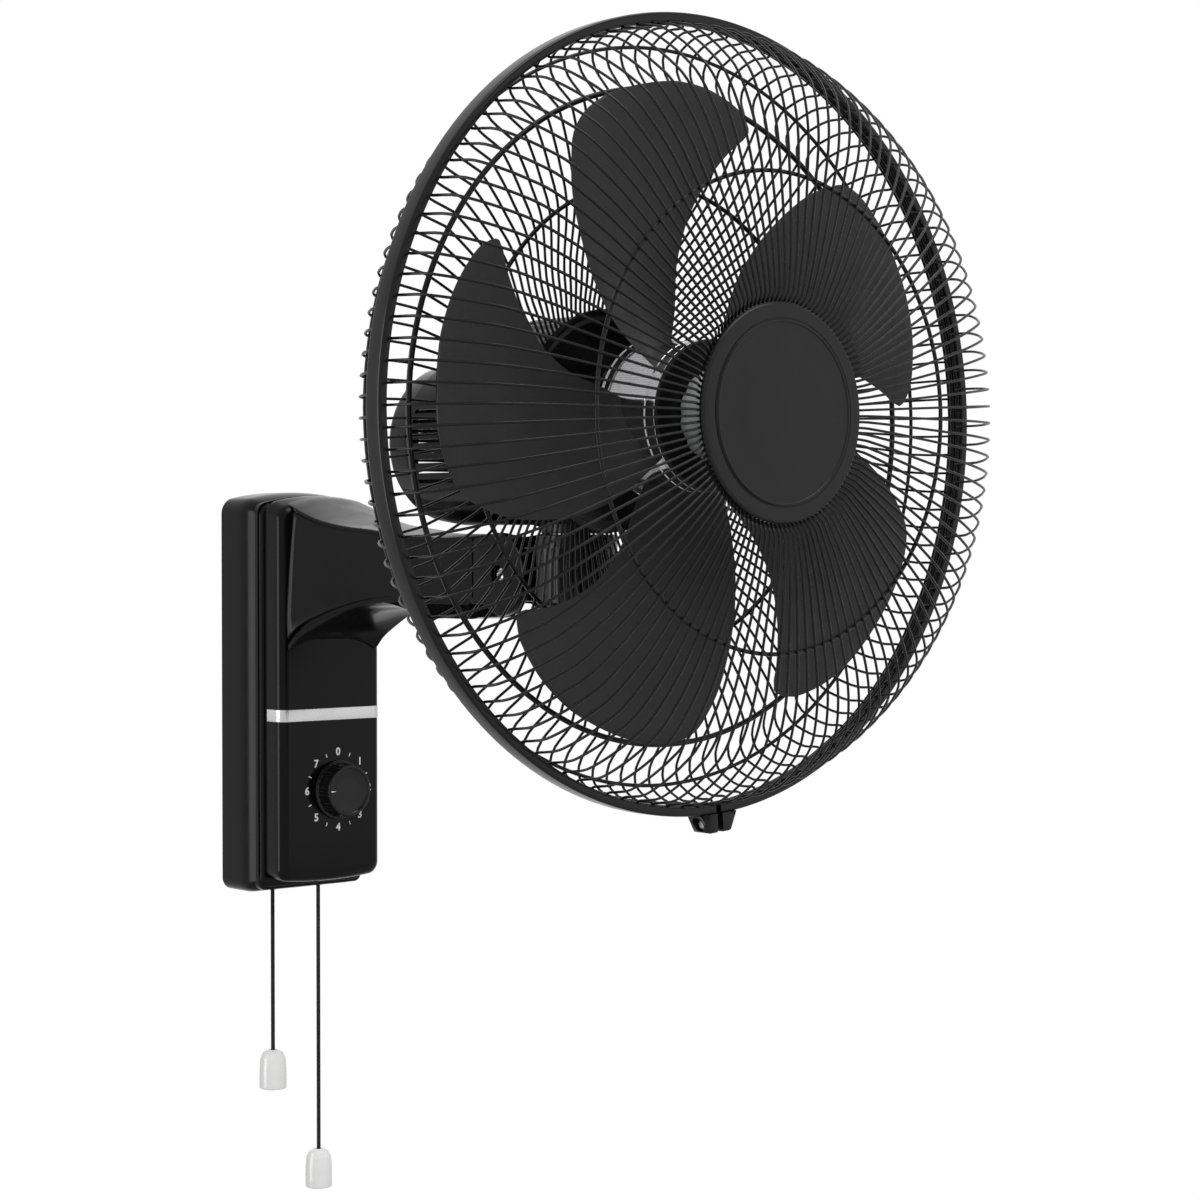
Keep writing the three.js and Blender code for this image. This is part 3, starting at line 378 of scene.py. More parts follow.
print_white = surface_finish("white dial print", (0.8, 0.8, 0.8), 0.5, 900, 0.004, mottle=0.03)
dial_x, dial_z = 5.0, -64.0
numeral_ring, numeral_size, tick_in, tick_out, tick_half = 24.9, 7.0, 23.2, 25.6, 0.3
marks = 8
dial_marks = []
for position in range(marks):
    a = math.radians(90 - 360 / marks * position)
    letter = bpy.data.curves.new("numeral", type="FONT")
    letter.body = str(position)
    letter.size = numeral_size * MM
    letter.align_x, letter.align_y = "CENTER", "CENTER"
    letter.extrude = 0.03 * MM
    letter.offset = 0.17 * MM
    shape = bpy.data.objects.new("numeral", letter)
    outline = bpy.data.meshes.new_from_object(shape)
    cx, cz = dial_x + numeral_ring * math.cos(a), dial_z + numeral_ring * math.sin(a)
    dial_marks.append(([(cx + v.co.x / MM, face_y - 0.03 - v.co.z / MM, cz + v.co.y / MM)
                        for v in outline.vertices], [tuple(f.vertices) for f in outline.polygons]))
    bpy.data.objects.remove(shape)
    b = a - math.radians(180 / marks)
    along, across = (math.cos(b), math.sin(b)), (-math.sin(b), math.cos(b))
    tick = []
    for y in (face_y + 0.1, face_y - 0.06):
        for r, w in ((tick_in, -tick_half), (tick_out, -tick_half), (tick_out, tick_half),
                     (tick_in, tick_half)):
            tick.append((dial_x + r * along[0] + w * across[0], y,
                         dial_z + r * along[1] + w * across[1]))
    dial_marks.append((tick, [(0, 1, 2, 3), (4, 5, 6, 7), (0, 1, 5, 4), (1, 2, 6, 5), (2, 3, 7, 6),
                              (3, 0, 4, 7)]))
build_piece("dial_print", *several(dial_marks), print_white, "wall_unit", "pendant_white")

# ---------------------------------------------------------------- timer knob
# A gloss black push-on knob with a finely fluted skirt, a smooth face inside a raised rim, and a
# small white pointer on the face.

knob_gloss = surface_finish("gloss knob moulding", (0.004, 0.004, 0.0042), 0.2, 400, 0.004,
                            specular=0.2)
flute_deep, flute_count = 0.022, 30


def knob_flute(a, y):
    deep = flute_deep if -75.4 < y < -66.5 else 0.0
    return 1 - deep * (0.5 - 0.5 * math.cos(flute_count * a)) ** 2


turn(eased([(0, -76.2), (8.0, -76.2), (14.3, -76.5), (15.0, -77.3), (16.6, -77.2), (16.9, -75.3),
            (18.0, -66.8), (19.4, -66.3), (19.5, -64.4), (3.3, -64.4), (3.3, -74), (0, -74)], 0.7, 4),
     knob_gloss, "dial_knob", "timer", "gloss_black", ["timer_knob"], (dial_x, dial_z), "Y", 240,
     flute=knob_flute)
verts = [(dial_x - r, y, dial_z + w) for y in (-76.2, -76.75) for r, w in
         ((14.4, -0.55), (10.4, 0), (14.4, 0.55))]
build_piece("knob_pointer", verts, [(0, 1, 2), (3, 4, 5), (0, 1, 4, 3), (1, 2, 5, 4), (2, 0, 3, 5)],
            print_white, "timer", "pendant_white")

# ---------------------------------------------------------------- capacitor and arm core
# A boxed motor capacitor sits on the back wall beside the welded steel core that carries the arm.

capacitor_black = surface_finish("capacitor case", (0.02, 0.02, 0.022), 0.45, 500, 0.02)
dress(capacitor_black, "capacitor")
dress(bare_steel, "arm_core")

# ---------------------------------------------------------------- arm shroud
# A gloss moulding slips over the steel core from the front of the box to the tilt screw, and
# flares towards the box. A crowned satin roof lies along its top, and two round cheeks end it.


def smooth_value(rows, key, column):
    """A smooth curve through [key, value, ...] rows, with no overshoot."""
    rows = sorted(rows)
    if key <= rows[0][0]:
        return rows[0][column]
    if key >= rows[-1][0]:
        return rows[-1][column]
    i = max(k for k in range(len(rows) - 1) if rows[k][0] <= key)
    slopes = [(b[column] - a[column]) / (b[0] - a[0]) for a, b in zip(rows, rows[1:])]

    def tangent(k):
        if k == 0 or k == len(slopes):
            return slopes[min(k, len(slopes) - 1)]
        a, b = slopes[k - 1], slopes[k]
        return 0 if a * b <= 0 else 2 * a * b / (a + b)

    h = rows[i + 1][0] - rows[i][0]
    t = (key - rows[i][0]) / h
    a, b = rows[i][column], rows[i + 1][column]
    return (a * (2 * t ** 3 - 3 * t ** 2 + 1) + b * (3 * t ** 2 - 2 * t ** 3)
            + h * (tangent(i) * (t ** 3 - 2 * t ** 2 + t) + tangent(i + 1) * (t ** 3 - t ** 2)))


# y, half width, ridge, top of the side, bottom of the arm, rise of the side's lower edge over it
arm_rows = [
    (-288, 22.0, 104, 98.2, 62.7, 2.6), (-263, 22.0, 104.4, 98.4, 62.7, 2.6),
    (-213, 23.5, 104.4, 98.8, 62.7, 2.6), (-168, 26.0, 105.8, 101.0, 62.8, 2.9),
    (-144, 27.4, 107.8, 103.8, 60.8, 3.2), (-118, 29.3, 111.6, 106.0, 54.5, 4.6),
    (-94, 31.4, 118.0, 109.8, 45.2, 7.0), (-74, 33.2, 124.4, 115.4, 35.6, 8.0),
    (-64.3, 34.0, 127.8, 119.0, 27.4, 8.0), (-58, 34.2, 128.6, 120.6, 24, 8.0),
]
# height, how much wider the side stands there where the arm meets the cover
flare_rows = [(35, 2.0), (48, 2.8), (71, 1.6), (97, -0.3), (122, -3.0)]
arm_root, flare_length = -64.3, 75


def arm_half(y, z):
    """Half the arm's width; near the box it narrows towards the roof."""
    near = max(0.0, 1 + (y - arm_root) / flare_length)
    return smooth_value(arm_rows, y, 1) + near * smooth_value(flare_rows, z, 1)


def arm_section(y, inset=0.0):
    """One section across the arm's sides, with a small lip under the roof."""
    top, low, rise = (smooth_value(arm_rows, y, c) for c in (3, 4, 5))
    low += rise
    heights = [low + 1.2 + (top - low - 2.4) * k / 8 for k in range(9)]
    left = [(-arm_half(y, low) + 2.6, low), (-arm_half(y, low) + inset + 0.4, low)]
    left += [(-arm_half(y, z) + inset, z) for z in heights]
    edge = -arm_half(y, top) + inset
    left += [(edge + 0.5, top), (edge + 1.3, top + 0.1), (edge + 1.3, top + 0.9), (edge + 0.3, top + 1.0),
             (edge, top + 1.3), (edge, top + 2.9), (edge + 0.5, top + 3.2)]
    outline = left + [(-x, z) for x, z in reversed(left)]
    return [(x, y, z) for x, z in outline]


# y, how far the side stands in there; the first few make a rounded bead where the arm starts
stations = [(arm_root, 0.8), (-64.8, 0.1), (-65.6, -0.35), (-66.6, -0.5), (-67.6, -0.3), (-68.4, 0.0)]
stations += [(-70 - 4.2 * k, 0.0) for k in range(41)]
arm_end = -240
rings = [arm_section(y, inset) for y, inset in stations if y > arm_end] + [arm_section(arm_end)]
build_piece("arm_cover", *skin(rings), gloss_black, "wall_unit", "gloss_black", ["arm_shroud"], sharp=28)

satin_black = surface_finish("satin roof moulding", (0.009, 0.009, 0.0095), 0.3, 1500, 0.02,
                             mottle=0.08, specular=0.4)
roof_start, roof_step = -57.5, 4.05
rings = []
for k in range(46):
    y = roof_start - roof_step * k
    ridge, top = smooth_value(arm_rows, y, 2), smooth_value(arm_rows, y, 3)
    half = arm_half(y, top)
    under, shoulder = top + 2.4, top + 3.3
    left = [(-half + 0.7, under), (-half + 0.3, shoulder - 0.3)]
    left += [(-(half - 0.5) * (1 - t), shoulder + (max(ridge, shoulder + 0.6) - shoulder)
              * (1 - (1 - t) ** 2) ** 0.9) for t in (0, 0.04, 0.12, 0.24, 0.38, 0.54, 0.7, 0.85, 1.0)]
    outline = left + [(-x, z) for x, z in reversed(left[:-1])]
    rings.append([(x, y, z) for x, z in outline])
build_piece("arm_roof", *skin(rings), satin_black, "wall_unit", "satin_black", sharp=28)

pivot_y, pivot_z = -263.0, 80.0


def cheek_ring(x, inset, hole=None):
    """One outline of a cheek: round at the far end, with flats above and below towards the arm."""
    ring = []
    for i in range(96):
        a = math.tau * i / 96
        if hole:
            r = hole
        else:
            c, s = math.cos(a), math.sin(a)
            r = 25.0 - inset
            if c > 0:
                r = min((25.5 - inset) / c if c > 0.05 else 99,
                        (21.2 - inset + 3.8 * (1 - c)) / s if s > 0.05 else 99,
                        (18.2 - inset + 6.8 * (1 - min(c * 1.6, 1))) / -s if s < -0.05 else 99,
                        30.5)
        ring.append((x, pivot_y + r * math.cos(a), pivot_z + r * math.sin(a)))
    return ring


for side, sign in both_sides:
    rings = [cheek_ring(sign * x, inset, hole) for x, inset, hole in (
        (16.4, 0, None), (21.0, 0, None), (21.55, 0.25, None), (21.9, 0.8, None), (22.0, 1.5, None),
        (22, 0, 6.1), (21.6, 0, 5.6), (21.0, 0, 5.35), (16.4, 0, 5.35))]
    build_piece("arm_cheek_" + side, *skin(rings, closed=True), gloss_black, "wall_unit",
                "gloss_black", sharp=28)

# ---------------------------------------------------------------- arm underside
# A second moulding closes the arm from below: it sweeps up from the box in an arch and ends in
# a belly with bevelled sides under the straight part of the arm.


def belly_depth(y):
    """How far the belly hangs under the arm: it starts at -150 and thins again from -226."""
    t = min(max((-150 - y) / 45, 0), 1)
    thinner = max(1 - ((-226 - y) / 16) ** 2 * 0.35, 0.3) if y < -226 else 1
    return 9.4 * t * t * (3 - 2 * t) * thinner


belly_start, belly_step = -65.2, 3.965
rings = []
for k in range(44):
    y = belly_start - belly_step * k
    low, rise = smooth_value(arm_rows, y, 4), smooth_value(arm_rows, y, 5)
    d = belly_depth(y)
    arch = 6.5 * max(0, 1 - (-64 - y) / 60) + 2.2 * min(max((y + 140) / 50, 0), 1)
    outer = arm_half(y, low + rise) - 0.5
    seam, foot = low + rise - 3.4, low + min(rise - 3.6, 0)
    left = [(-outer + 2.4, low + rise + 1), (-outer + 2.4, seam + 0.2), (-outer + 0.3, seam),
            (-outer, seam - 0.4), (-outer, min(foot + 0.5, seam - 0.5)),
            (-outer + max(d, 0.6), foot - d)]
    left += [(-outer * f + bevel, foot - d + arch * (1 - f * f) ** 0.8)
             for f, bevel in ((0.8, d), (0.55, d), (0.28, 0), (0.0, 0))]
    outline = left + [(-x, z) for x, z in reversed(left[:-1])]
    rings.append([(x, y, z) for x, z in outline])
build_piece("arm_belly", *skin(rings), gloss_black, "wall_unit", "gloss_black", ["arm_underside"],
            sharp=28)

# ---------------------------------------------------------------- tilt screw
# A zinc plated cross head screw and a hexagon nut clamp the tongue of the neck in the arm's fork.


def carve(piece, verts, faces):
    """Cuts a shape out of a piece."""
    tool = bpy.data.objects.new("tool", new_mesh("tool", verts, faces))
    bpy.context.scene.collection.objects.link(tool)
    step = piece.modifiers.new("carve", "BOOLEAN")
    step.operation, step.object, step.solver = "DIFFERENCE", tool, "EXACT"
    carved = bpy.data.meshes.new_from_object(piece.evaluated_get(bpy.context.evaluated_depsgraph_get()))
    piece.modifiers.remove(step)
    carved.name = piece.name
    piece.data = carved
    bpy.data.objects.remove(tool)


def block(x0, x1, y0, y1, z0, z1):
    """A square block, for cutting slots."""
    verts = [(x, y, z) for x in (x0, x1) for y in (y0, y1) for z in (z0, z1)]
    return verts, [(0, 1, 3, 2), (4, 6, 7, 5), (0, 4, 5, 1), (2, 3, 7, 6), (0, 2, 6, 4), (1, 5, 7, 3)]


screw = turn(eased([(0, -19.4), (1.6, -19.35), (4.0, -18.5), (4.75, -17.2), (4.75, -16.3), (3.0, -16.3),
                    (3.0, 19.6), (0, 19.6)], 0.4),
             zinc_plate, "tilt_screw", "wall_unit", "zinc", ["tilt_bolt"], (pivot_y, pivot_z), "X", 64)
# the cross in its head
for wide, tall in ((0.55, 2.7), (2.7, 0.55)):
    carve(screw, *block(-20, -17.6, pivot_y - wide, pivot_y + wide, pivot_z - tall, pivot_z + tall))
turn(eased([(3.25, 16.3), (4.75, 16.3), (4.75, 19.2), (3.25, 19.2)], 0.3, 3, closed=True),
     zinc_plate, "tilt_screw_nut", "wall_unit", "zinc", ["tilt_nut"], (pivot_y, pivot_z), "X", 6)

# ---------------------------------------------------------------- neck
# A black moulded cup holds the swing motor and the swivel bearing, and its tongue tilts in the fork.

swing_y = -311.0
cup_radius = 24
neck_black = surface_finish("satin neck moulding", (0.0045, 0.0045, 0.0048), 0.3, 320, 0.01,
                            specular=0.16)


def neck_ribs(a, z):
    return 1 - (0.028 * (0.5 + 0.5 * math.cos(24 * a)) ** 3 if 68 < z < 96 else 0)


turn(eased([(18.5, 63.3), (cup_radius, 63.3), (cup_radius, 68), (cup_radius, 69), (cup_radius, 95),
            (cup_radius, 96), (cup_radius, 104), (8.3, 104), (8.3, 88), (18.5, 88)], 1.2, 4, closed=True),
     neck_black, "neck_cup", "neck", "gloss_black", ["neck_housing"], (0, swing_y), "Z", 192,
     flute=neck_ribs)
tongue_radius, tongue_end = 16, swing_y + 14
rings = []
for x, inset in ((-12, 1.4), (-11.6, 0.4), (-10.6, 0), (10.6, 0), (11.6, 0.4), (12, 1.4)):
    ring = []
    r = tongue_radius - inset
    for k in range(25):
        a = math.radians(-90 + 180 * k / 24)
        ring.append((x, pivot_y + r * math.cos(a), pivot_z + r * math.sin(a)))
    ring += [(x, tongue_end, pivot_z + tongue_radius - inset),
             (x, tongue_end, pivot_z - tongue_radius + inset)]
    rings.append(ring)
tongue = build_piece("neck_tongue", *skin(rings), neck_black, "neck", "gloss_black")


def ring_about_x(x, radius, y, z, sides):
    """A ring of points round a line along x."""
    return [(x, y + radius * math.cos(math.tau * i / sides), z + radius * math.sin(math.tau * i / sides))
            for i in range(sides)]


carve(tongue, *skin([ring_about_x(x, 3.3, pivot_y, pivot_z, 32) for x in (-20, 20)]))
turn(eased([(0, 58.0), (19, 58.0), (23.6, 60.4), (cup_radius, 63.0), (0, 63.0)], 2.0, 5),
     neck_black, "neck_cap", "neck", "gloss_black", ["neck_cover"], (0, swing_y), "Z", 96)

# ---------------------------------------------------------------- motor
# A die cast front housing with its end shield, and a gloss plastic cover over the back with
# rows of cooling slots. A ground steel post under it turns in the neck.

dress(bare_steel, "swivel_post", "stator_core", "front_bearing", "rear_bearing", "rotor_core")
winding_copper = surface_finish("enamelled copper winding", (0.5, 0.19, 0.07), 0.3, 700, 0.15,
                                metallic=1.0, stretch=(1, 0.05, 1))
dress(winding_copper, "stator_winding")
cast_black = surface_finish("painted die casting", (0.0045, 0.0045, 0.0048), 0.36, 450, 0.04,
                            specular=0.2)
# front_y is the front edge of the clamp band, from which the head's parts are measured
front_y, head_z = -418.0, 170.0
head_axis = (0.0, head_z)


def cast_ribs(a, y):
    return 1 - (0.02 * (0.5 + 0.5 * math.cos(36 * a)) ** 2 if -330 < y < -293 else 0)


turn(eased([(9, front_y + 61.3), (26, front_y + 61.3), (26, front_y + 81.3), (57, front_y + 81.3),
            (62, front_y + 86), (62, -330), (62, -329), (62, -294), (62, -293), (62, -289.8),
            (59, -289.8), (59, -331), (9, -331)], 1.2, 4, closed=True),
     cast_black, "motor_case", "head", "cast_black", ["motor_housing"], head_axis, "Y", 216,
     flute=cast_ribs)
turn(eased([(0.0, 104.4), (21, 104.4), (21, 110.6), (0, 110.6)], 1.0, 4),
     cast_black, "motor_swivel_boss", "head", "cast_black", (), (0, swing_y), "Z", 96)
turn(eased([(9, -293.4), (13, -293.4), (13, -289.4), (62, -289.4), (62, -286), (58.5, -284.7),
            (9, -284.7)], 0.8, 4, closed=True),
     cast_black, "motor_shield", "head", "cast_black", ["motor_end_shield"], head_axis, "Y", 128)
rear_z = 160.0
rear_cover = turn(eased([(48.2, -284.4), (50.5, -284.4), (50.5, -281.5), (49.9, -281.2),
                         (49.9, -280.4), (50.5, -280.1), (50.5, -210), (48.5, -192), (40, -180.5),
                         (25, -177.6), (0, -177.5), (0, -180), (25, -180), (38.5, -183), (46, -193),
                         (48, -210), (48.2, -284.4)],
                        [0, 0.3, 0.3, 0.2, 0.2, 0.3, 8, 8, 8, 6, 0, 0, 6, 8, 8, 8, 0], 4),
                  gloss_black, "motor_back_cover", "head", "gloss_black", ["motor_rear_cover"],
                  (0.0, rear_z), "Y", 128)
slot_step, slot_half = 6, 1.1
slots = []
for k in range(9):
    z = rear_z + slot_step * (k - 4)
    slots.append(block(-60, -30, -268, -216, z - slot_half, z + slot_half))
    slots.append(block(30, 60, -268, -216, z - slot_half, z + slot_half))
for k in range(7):
    z = rear_z + slot_step * (k - 3)
    slots.append(block(-17, 17, -182, -170, z - slot_half, z + slot_half))
carve(rear_cover, *several(slots))

# ---------------------------------------------------------------- rear guard
# Black enamelled steel wires, welded to round rings, run from the clamp band round the shoulder
# and in to a pressed plate that the motor's nut holds.

wire_black = surface_finish("enamelled wire", (0.004, 0.004, 0.0043), 0.26, 500, 0.01, specular=0.2)
wire_count, wire_radius = 120, 0.8
rim_radius, rim_wire = 220.4, 1.9


def guard_line(stops):
    """A smooth line through (radius, y) stops."""
    pts = [Vector(p) for p in stops]
    pts = [2 * pts[0] - pts[1]] + pts + [2 * pts[-1] - pts[-2]]
    line = []
    for a, b, c, d in zip(pts, pts[1:], pts[2:], pts[3:]):
        steps = max(2, min(7, round((c - b).length / 4)))
        for k in range(steps):
            t = k / steps
            line.append(0.5 * (2 * b + (c - a) * t + (2 * a - 5 * b + 4 * c - d) * t ** 2
                               + (3 * b - a - 3 * c + d) * t ** 3))
    return line + [pts[-2]]


def guard_wires(line, start=0.0):
    """Round wires that all follow one line in planes through the head's axis."""
    sides = 6
    shapes = []
    for w in range(wire_count):
        a = start + math.tau * w / wire_count
        ca, sa = math.cos(a), math.sin(a)
        rings = []
        for i, p in enumerate(line):
            heading = (line[min(i + 1, len(line) - 1)] - line[max(i - 1, 0)]).normalized()
            out = Vector((-heading.y, heading.x))
            ring = []
            for k in range(sides):
                b = math.tau * k / sides
                r = p.x + wire_radius * math.cos(b) * out.x
                y = p.y + wire_radius * math.cos(b) * out.y
                side = wire_radius * math.sin(b)
                ring.append((r * ca - side * sa, front_y + y, head_z + r * sa + side * ca))
            rings.append(ring)
        shapes.append(skin(rings))
    return several(shapes)


def guard_rings(rings):
    """Welded rings: (radius, y, wire radius) each."""
    segments, sides = 180, 10
    shapes = []
    for r, y, thick in rings:
        loops = []
        for i in range(segments):
            a = math.tau * i / segments
            loops.append([((r + thick * math.cos(math.tau * k / sides)) * math.cos(a),
                           front_y + y + thick * math.sin(math.tau * k / sides),
                           head_z + (r + thick * math.cos(math.tau * k / sides)) * math.sin(a))
                          for k in range(sides)])
        shapes.append(skin(loops, closed=True))
    return several(shapes)


rear_line = guard_line([(rim_radius, 8.0), (218.0, 9.6), (217.6, 13), (217.8, 21), (214.2, 30), (208.4, 37),
                        (199.1, 37), (188.1, 30.2), (184.7, 29.2), (172, 30.8), (157.5, 34), (134.5, 41),
                        (100, 62.4), (82, 71), (68, 77.6), (60, 79.4)])
build_piece("rear_guard_wires", *guard_wires(rear_line, math.pi / wire_count), wire_black, "head",
            "wire_black", ["rear_grille"], sharp=70)
build_piece("rear_guard_rings", *guard_rings([(rim_radius, 8.1, rim_wire), (209.2, 33.0, 1.1),
                                              (185.5, 26.7, 1.6), (134.4, 38.6, 1.3)]),
            wire_black, "head", "wire_black", sharp=70)
turn(eased([(26.7, 78.6 + front_y), (58, 78.6 + front_y), (61, 77.6 + front_y), (65, 77.6 + front_y),
            (65, 79.2 + front_y), (61.5, 79.4 + front_y), (59, 81.0 + front_y), (26.7, 81.0 + front_y)],
           0.6, 3, closed=True),
     wire_black, "rear_guard_plate", "head", "wire_black", (), head_axis, "Y", 144)


def nut_grip(a, y):
    return 1 - 0.05 * (0.5 + 0.5 * math.cos(16 * a)) ** 2


turn(eased([(26.4, front_y + 60.8), (31.4, front_y + 60.8), (32, front_y + 62), (32, front_y + 78.4),
            (26.4, front_y + 78.4)], 0.8, 3, closed=True),
     neck_black, "guard_ring_nut", "head", "satin_black", ["guard_nut"], head_axis, "Y", 160,
     flute=nut_grip)

# ---------------------------------------------------------------- rotor and hub
# The ground shaft carries a bright hub barrel with a black face, clamped by a grey spinner nut.

dress(bare_steel, "motor_shaft")
# The chrome's colour is set darker than bare chrome: painted reflection of the dark blades round the barrel.
hub_chrome_painted_dark = surface_finish("chromed hub with painted dark reflection", (0.45, 0.45, 0.46), 0.12, 200, 0.002, metallic=1.0,
                            mottle=0.03)
turn(eased([(4.3, front_y - 7.7), (43, front_y - 7.7), (43, front_y - 0.6), (42.0, front_y),
            (43, front_y + 0.6), (43, front_y + 33), (46, front_y + 33.6), (46, front_y + 36),
            (40.5, front_y + 36), (40.5, front_y - 4.8), (9, front_y - 4.8), (9, front_y + 24),
            (4.3, front_y + 24)], 0.4, 3, closed=True),
     hub_chrome_painted_dark, "hub_cylinder", "rotor", "bright_trim", ["hub_barrel"], head_axis, "Y", 128)
turn(eased([(4.3, front_y - 10), (41.6, front_y - 10), (43, front_y - 9.2), (43, front_y - 8.1),
            (4.3, front_y - 8.1)], 0.5, 3, closed=True),
     neck_black, "hub_front_plate", "rotor", "satin_black", ["hub_face"], head_axis, "Y", 128)
spinner_grey = surface_finish("grey spinner moulding", (0.24, 0.245, 0.25), 0.4, 500, 0.02, mottle=0.05)


def spinner_grip(a, y):
    return 1 - (0.045 * (0.5 + 0.5 * math.cos(12 * a)) ** 2 if y > front_y - 21 else 0)


turn(eased([(0, front_y - 26.2), (12, front_y - 25.2), (21.5, front_y - 22), (26.4, front_y - 15.5),
            (27, front_y - 10.4), (4.4, front_y - 10.4), (4.4, front_y - 16.4), (0, front_y - 16.4)], 2.0, 4),
     spinner_grey, "spinner", "rotor", "grey_plastic", ["spinner_nut"], head_axis, "Y", 144,
     flute=spinner_grip)

# ---------------------------------------------------------------- blades
# Five matt dark grey moulded blades, cambered and twisted, each with a pointed leading tip.

blade_grey = surface_finish("matt blade moulding", (0.017, 0.017, 0.018), 0.5, 700, 0.03, mottle=0.08,
                            specular=0.25)
# radius, leading edge and trailing edge in degrees, axial height, middle
blade_rows = [
    (42.2, -7, 44, 24, 9.8), (60, -8, 44, 20.5, 8.5), (80, -7.5, 42.5, 17.2, 7.3),
    (105, -10, 38.5, 14.5, 5.0), (133, -16, 33, 11.9, 2.6), (155, -21.8, 28.5, 9.8, 1.2),
    (168, -25.2, 25.1, 8.5, 0.4), (177, -22, 22.4, 6.8, 0.2), (183, -15.2, 18.5, 4.5, 0.6),
    (185.5, -10.5, 15, 3, 0.9), (186.8, -6, 11, 2, 1.2),
]
root_radius, tip_start = 42.2, 168
radii = [root_radius + (tip_start - root_radius) * k / 24 for k in range(25)]
radii += [170.5, 173, 175.5, 178, 180, 182, 183.6, 184.8, 185.8, 186.4, 186.8]
chord = 16
blade_count, first_blade = 5, 29
for number in range(1, blade_count + 1):
    base = first_blade + 360 / blade_count * (number - 1)
    rings = []
    for r in radii:
        lead, trail, tall, middle = (smooth_value(blade_rows, r, c) for c in (1, 2, 3, 4))
        bow = 2.0 + 2.0 * (187 - r) / 145
        ring = []
        for face in (1, -1):
            for k in range(chord + 1):
                u = k / chord if face > 0 else 1 - k / chord
                angle = math.radians(base + lead + (trail - lead) * u)
                thick = 0.95 * (0.25 + 0.75 * math.sqrt(max(1 - (2 * u - 1) ** 4, 0)))
                camber = bow * 4 * u * (1 - u) * min(1, (187.4 - r) / 20)
                y = middle + tall * (0.5 - u) + camber + face * thick
                ring.append((r * math.cos(angle), front_y + y, head_z + r * math.sin(angle)))
        rings.append(ring)
    build_piece("fan_blade_%d" % number, *skin(rings), blade_grey, "rotor", "blade_grey",
                ["blade_%d" % number], sharp=50)

# ---------------------------------------------------------------- front guard
# The front half of the guard: the same wires swept forward over the blades, welded to one
# middle ring and gathered under the badge.

front_line = guard_line([(rim_radius, 4.2), (218.2, 2.4), (217.5, -2), (216.8, -8), (215.1, -15.5),
                         (208.1, -27), (198.2, -39), (185.3, -50), (160, -58.9), (131.4, -62.9),
                         (95, -66.0), (74, -66.2), (66, -65.6), (62, -62.6), (59, -61.0), (54, -60.8)])
build_piece("front_guard_wires", *guard_wires(front_line), wire_black, "head", "wire_black",
            ["front_grille"], sharp=70)
build_piece("front_guard_rings", *guard_rings([(rim_radius, 3.9, rim_wire), (131.4, -61.2, 1.2),
                                               (56, -60.6, 1.3)]),
            wire_black, "head", "wire_black", sharp=70)

# ---------------------------------------------------------------- clamp band
# A rolled steel channel pinches both rims together and is drawn tight by one screw at the bottom.

band_black = surface_finish("enamelled clamp band", (0.004, 0.004, 0.0042), 0.22, 300, 0.006,
                            specular=0.19)
band_profile = eased([(224.6, 0), (224.6, 12), (219.4, 12), (219.4, 10.4), (223, 10.4), (223, 1.6),
                      (219.4, 1.6), (219.4, 0)], [1.5, 1.5, 0.6, 0.6, 1, 1, 0.6, 0.6], 4, closed=True)
# the clamp sits this many degrees to the right of the bottom
clamp_turn = 3.6
gap_at, gap_wide = math.radians(270 + clamp_turn), 4.0 / 225
rings = []
for i in range(241):
    a = gap_at + gap_wide / 2 + (math.tau - gap_wide) * i / 240
    rings.append([(r * math.cos(a), front_y + y, head_z + r * math.sin(a)) for r, y in band_profile])
build_piece("clamp_band", *skin(rings), band_black, "head", "wire_black", ["guard_hoop"], sharp=40)


def at_clamp(points):
    """Turns points drawn at the bottom of the band to where its clamp is."""
    t = math.radians(clamp_turn)
    return [(x * math.cos(t) - z * math.sin(t), y, head_z + x * math.sin(t) + z * math.cos(t))
            for x, y, z in points]


screw_y, screw_z = front_y + 6, -230
for side, sign in both_sides:
    rings = []
    for y, inset in ((-1, 1.0), (-0.6, 0.3), (0, 0), (12, 0), (12.6, 0.3), (13, 1.0)):
        corners = [(2.0, -224.2), (2.0, -235 + inset), (8.5 - inset, -235 + inset), (13.5 - inset, -224.2)]
        rings.append([(sign * x, front_y + y, z)
                      for x, z in eased(corners, [0, 0.4, 2.2, 0], 4, closed=True)])
    verts, faces = skin(rings)
    lug = build_piece("band_lug_" + side, at_clamp(verts), faces, band_black, "head", "wire_black",
                      sharp=40)
    # a pocket for the screw's head or the nut, then the bore
    for radius, start, end, around in ((4.2, 5.5, 16, 40), (2.4, 0, 6, 24)):
        verts, faces = skin([ring_about_x(sign * x, radius, screw_y, screw_z, around) for x in (start, end)])
        carve(lug, at_clamp(verts), faces)
dark_zinc = surface_finish("dark plated screw", (0.16, 0.16, 0.165), 0.35, 300, 0.01, metallic=1.0)
for name, node, profile, sides in (
    ("band_screw", "hoop_screw",
     [(0, -8.4), (2.2, -8.3), (3.8, -7.2), (3.8, -5.8), (2, -5.8), (2, 9.4), (0, 9.4)], 32),
    ("band_nut", "hoop_nut", [(2.3, 5.8), (3.8, 5.8), (3.8, 8.6), (2.3, 8.6)], 6),
):
    closed = profile[0][0] > 0
    rounded = eased(profile, 0.25, 3, closed=closed)
    rings = [ring_about_x(x, max(r, 1e-3), screw_y, screw_z, sides) for r, x in rounded]
    verts, faces = skin(rings, closed=closed)
    build_piece(name, at_clamp(verts), faces, dark_zinc, "head", "zinc", [node], sharp=40)

# ---------------------------------------------------------------- badge
# A plain satin black disc snaps over the gathered wires, with a raised bead round its middle.

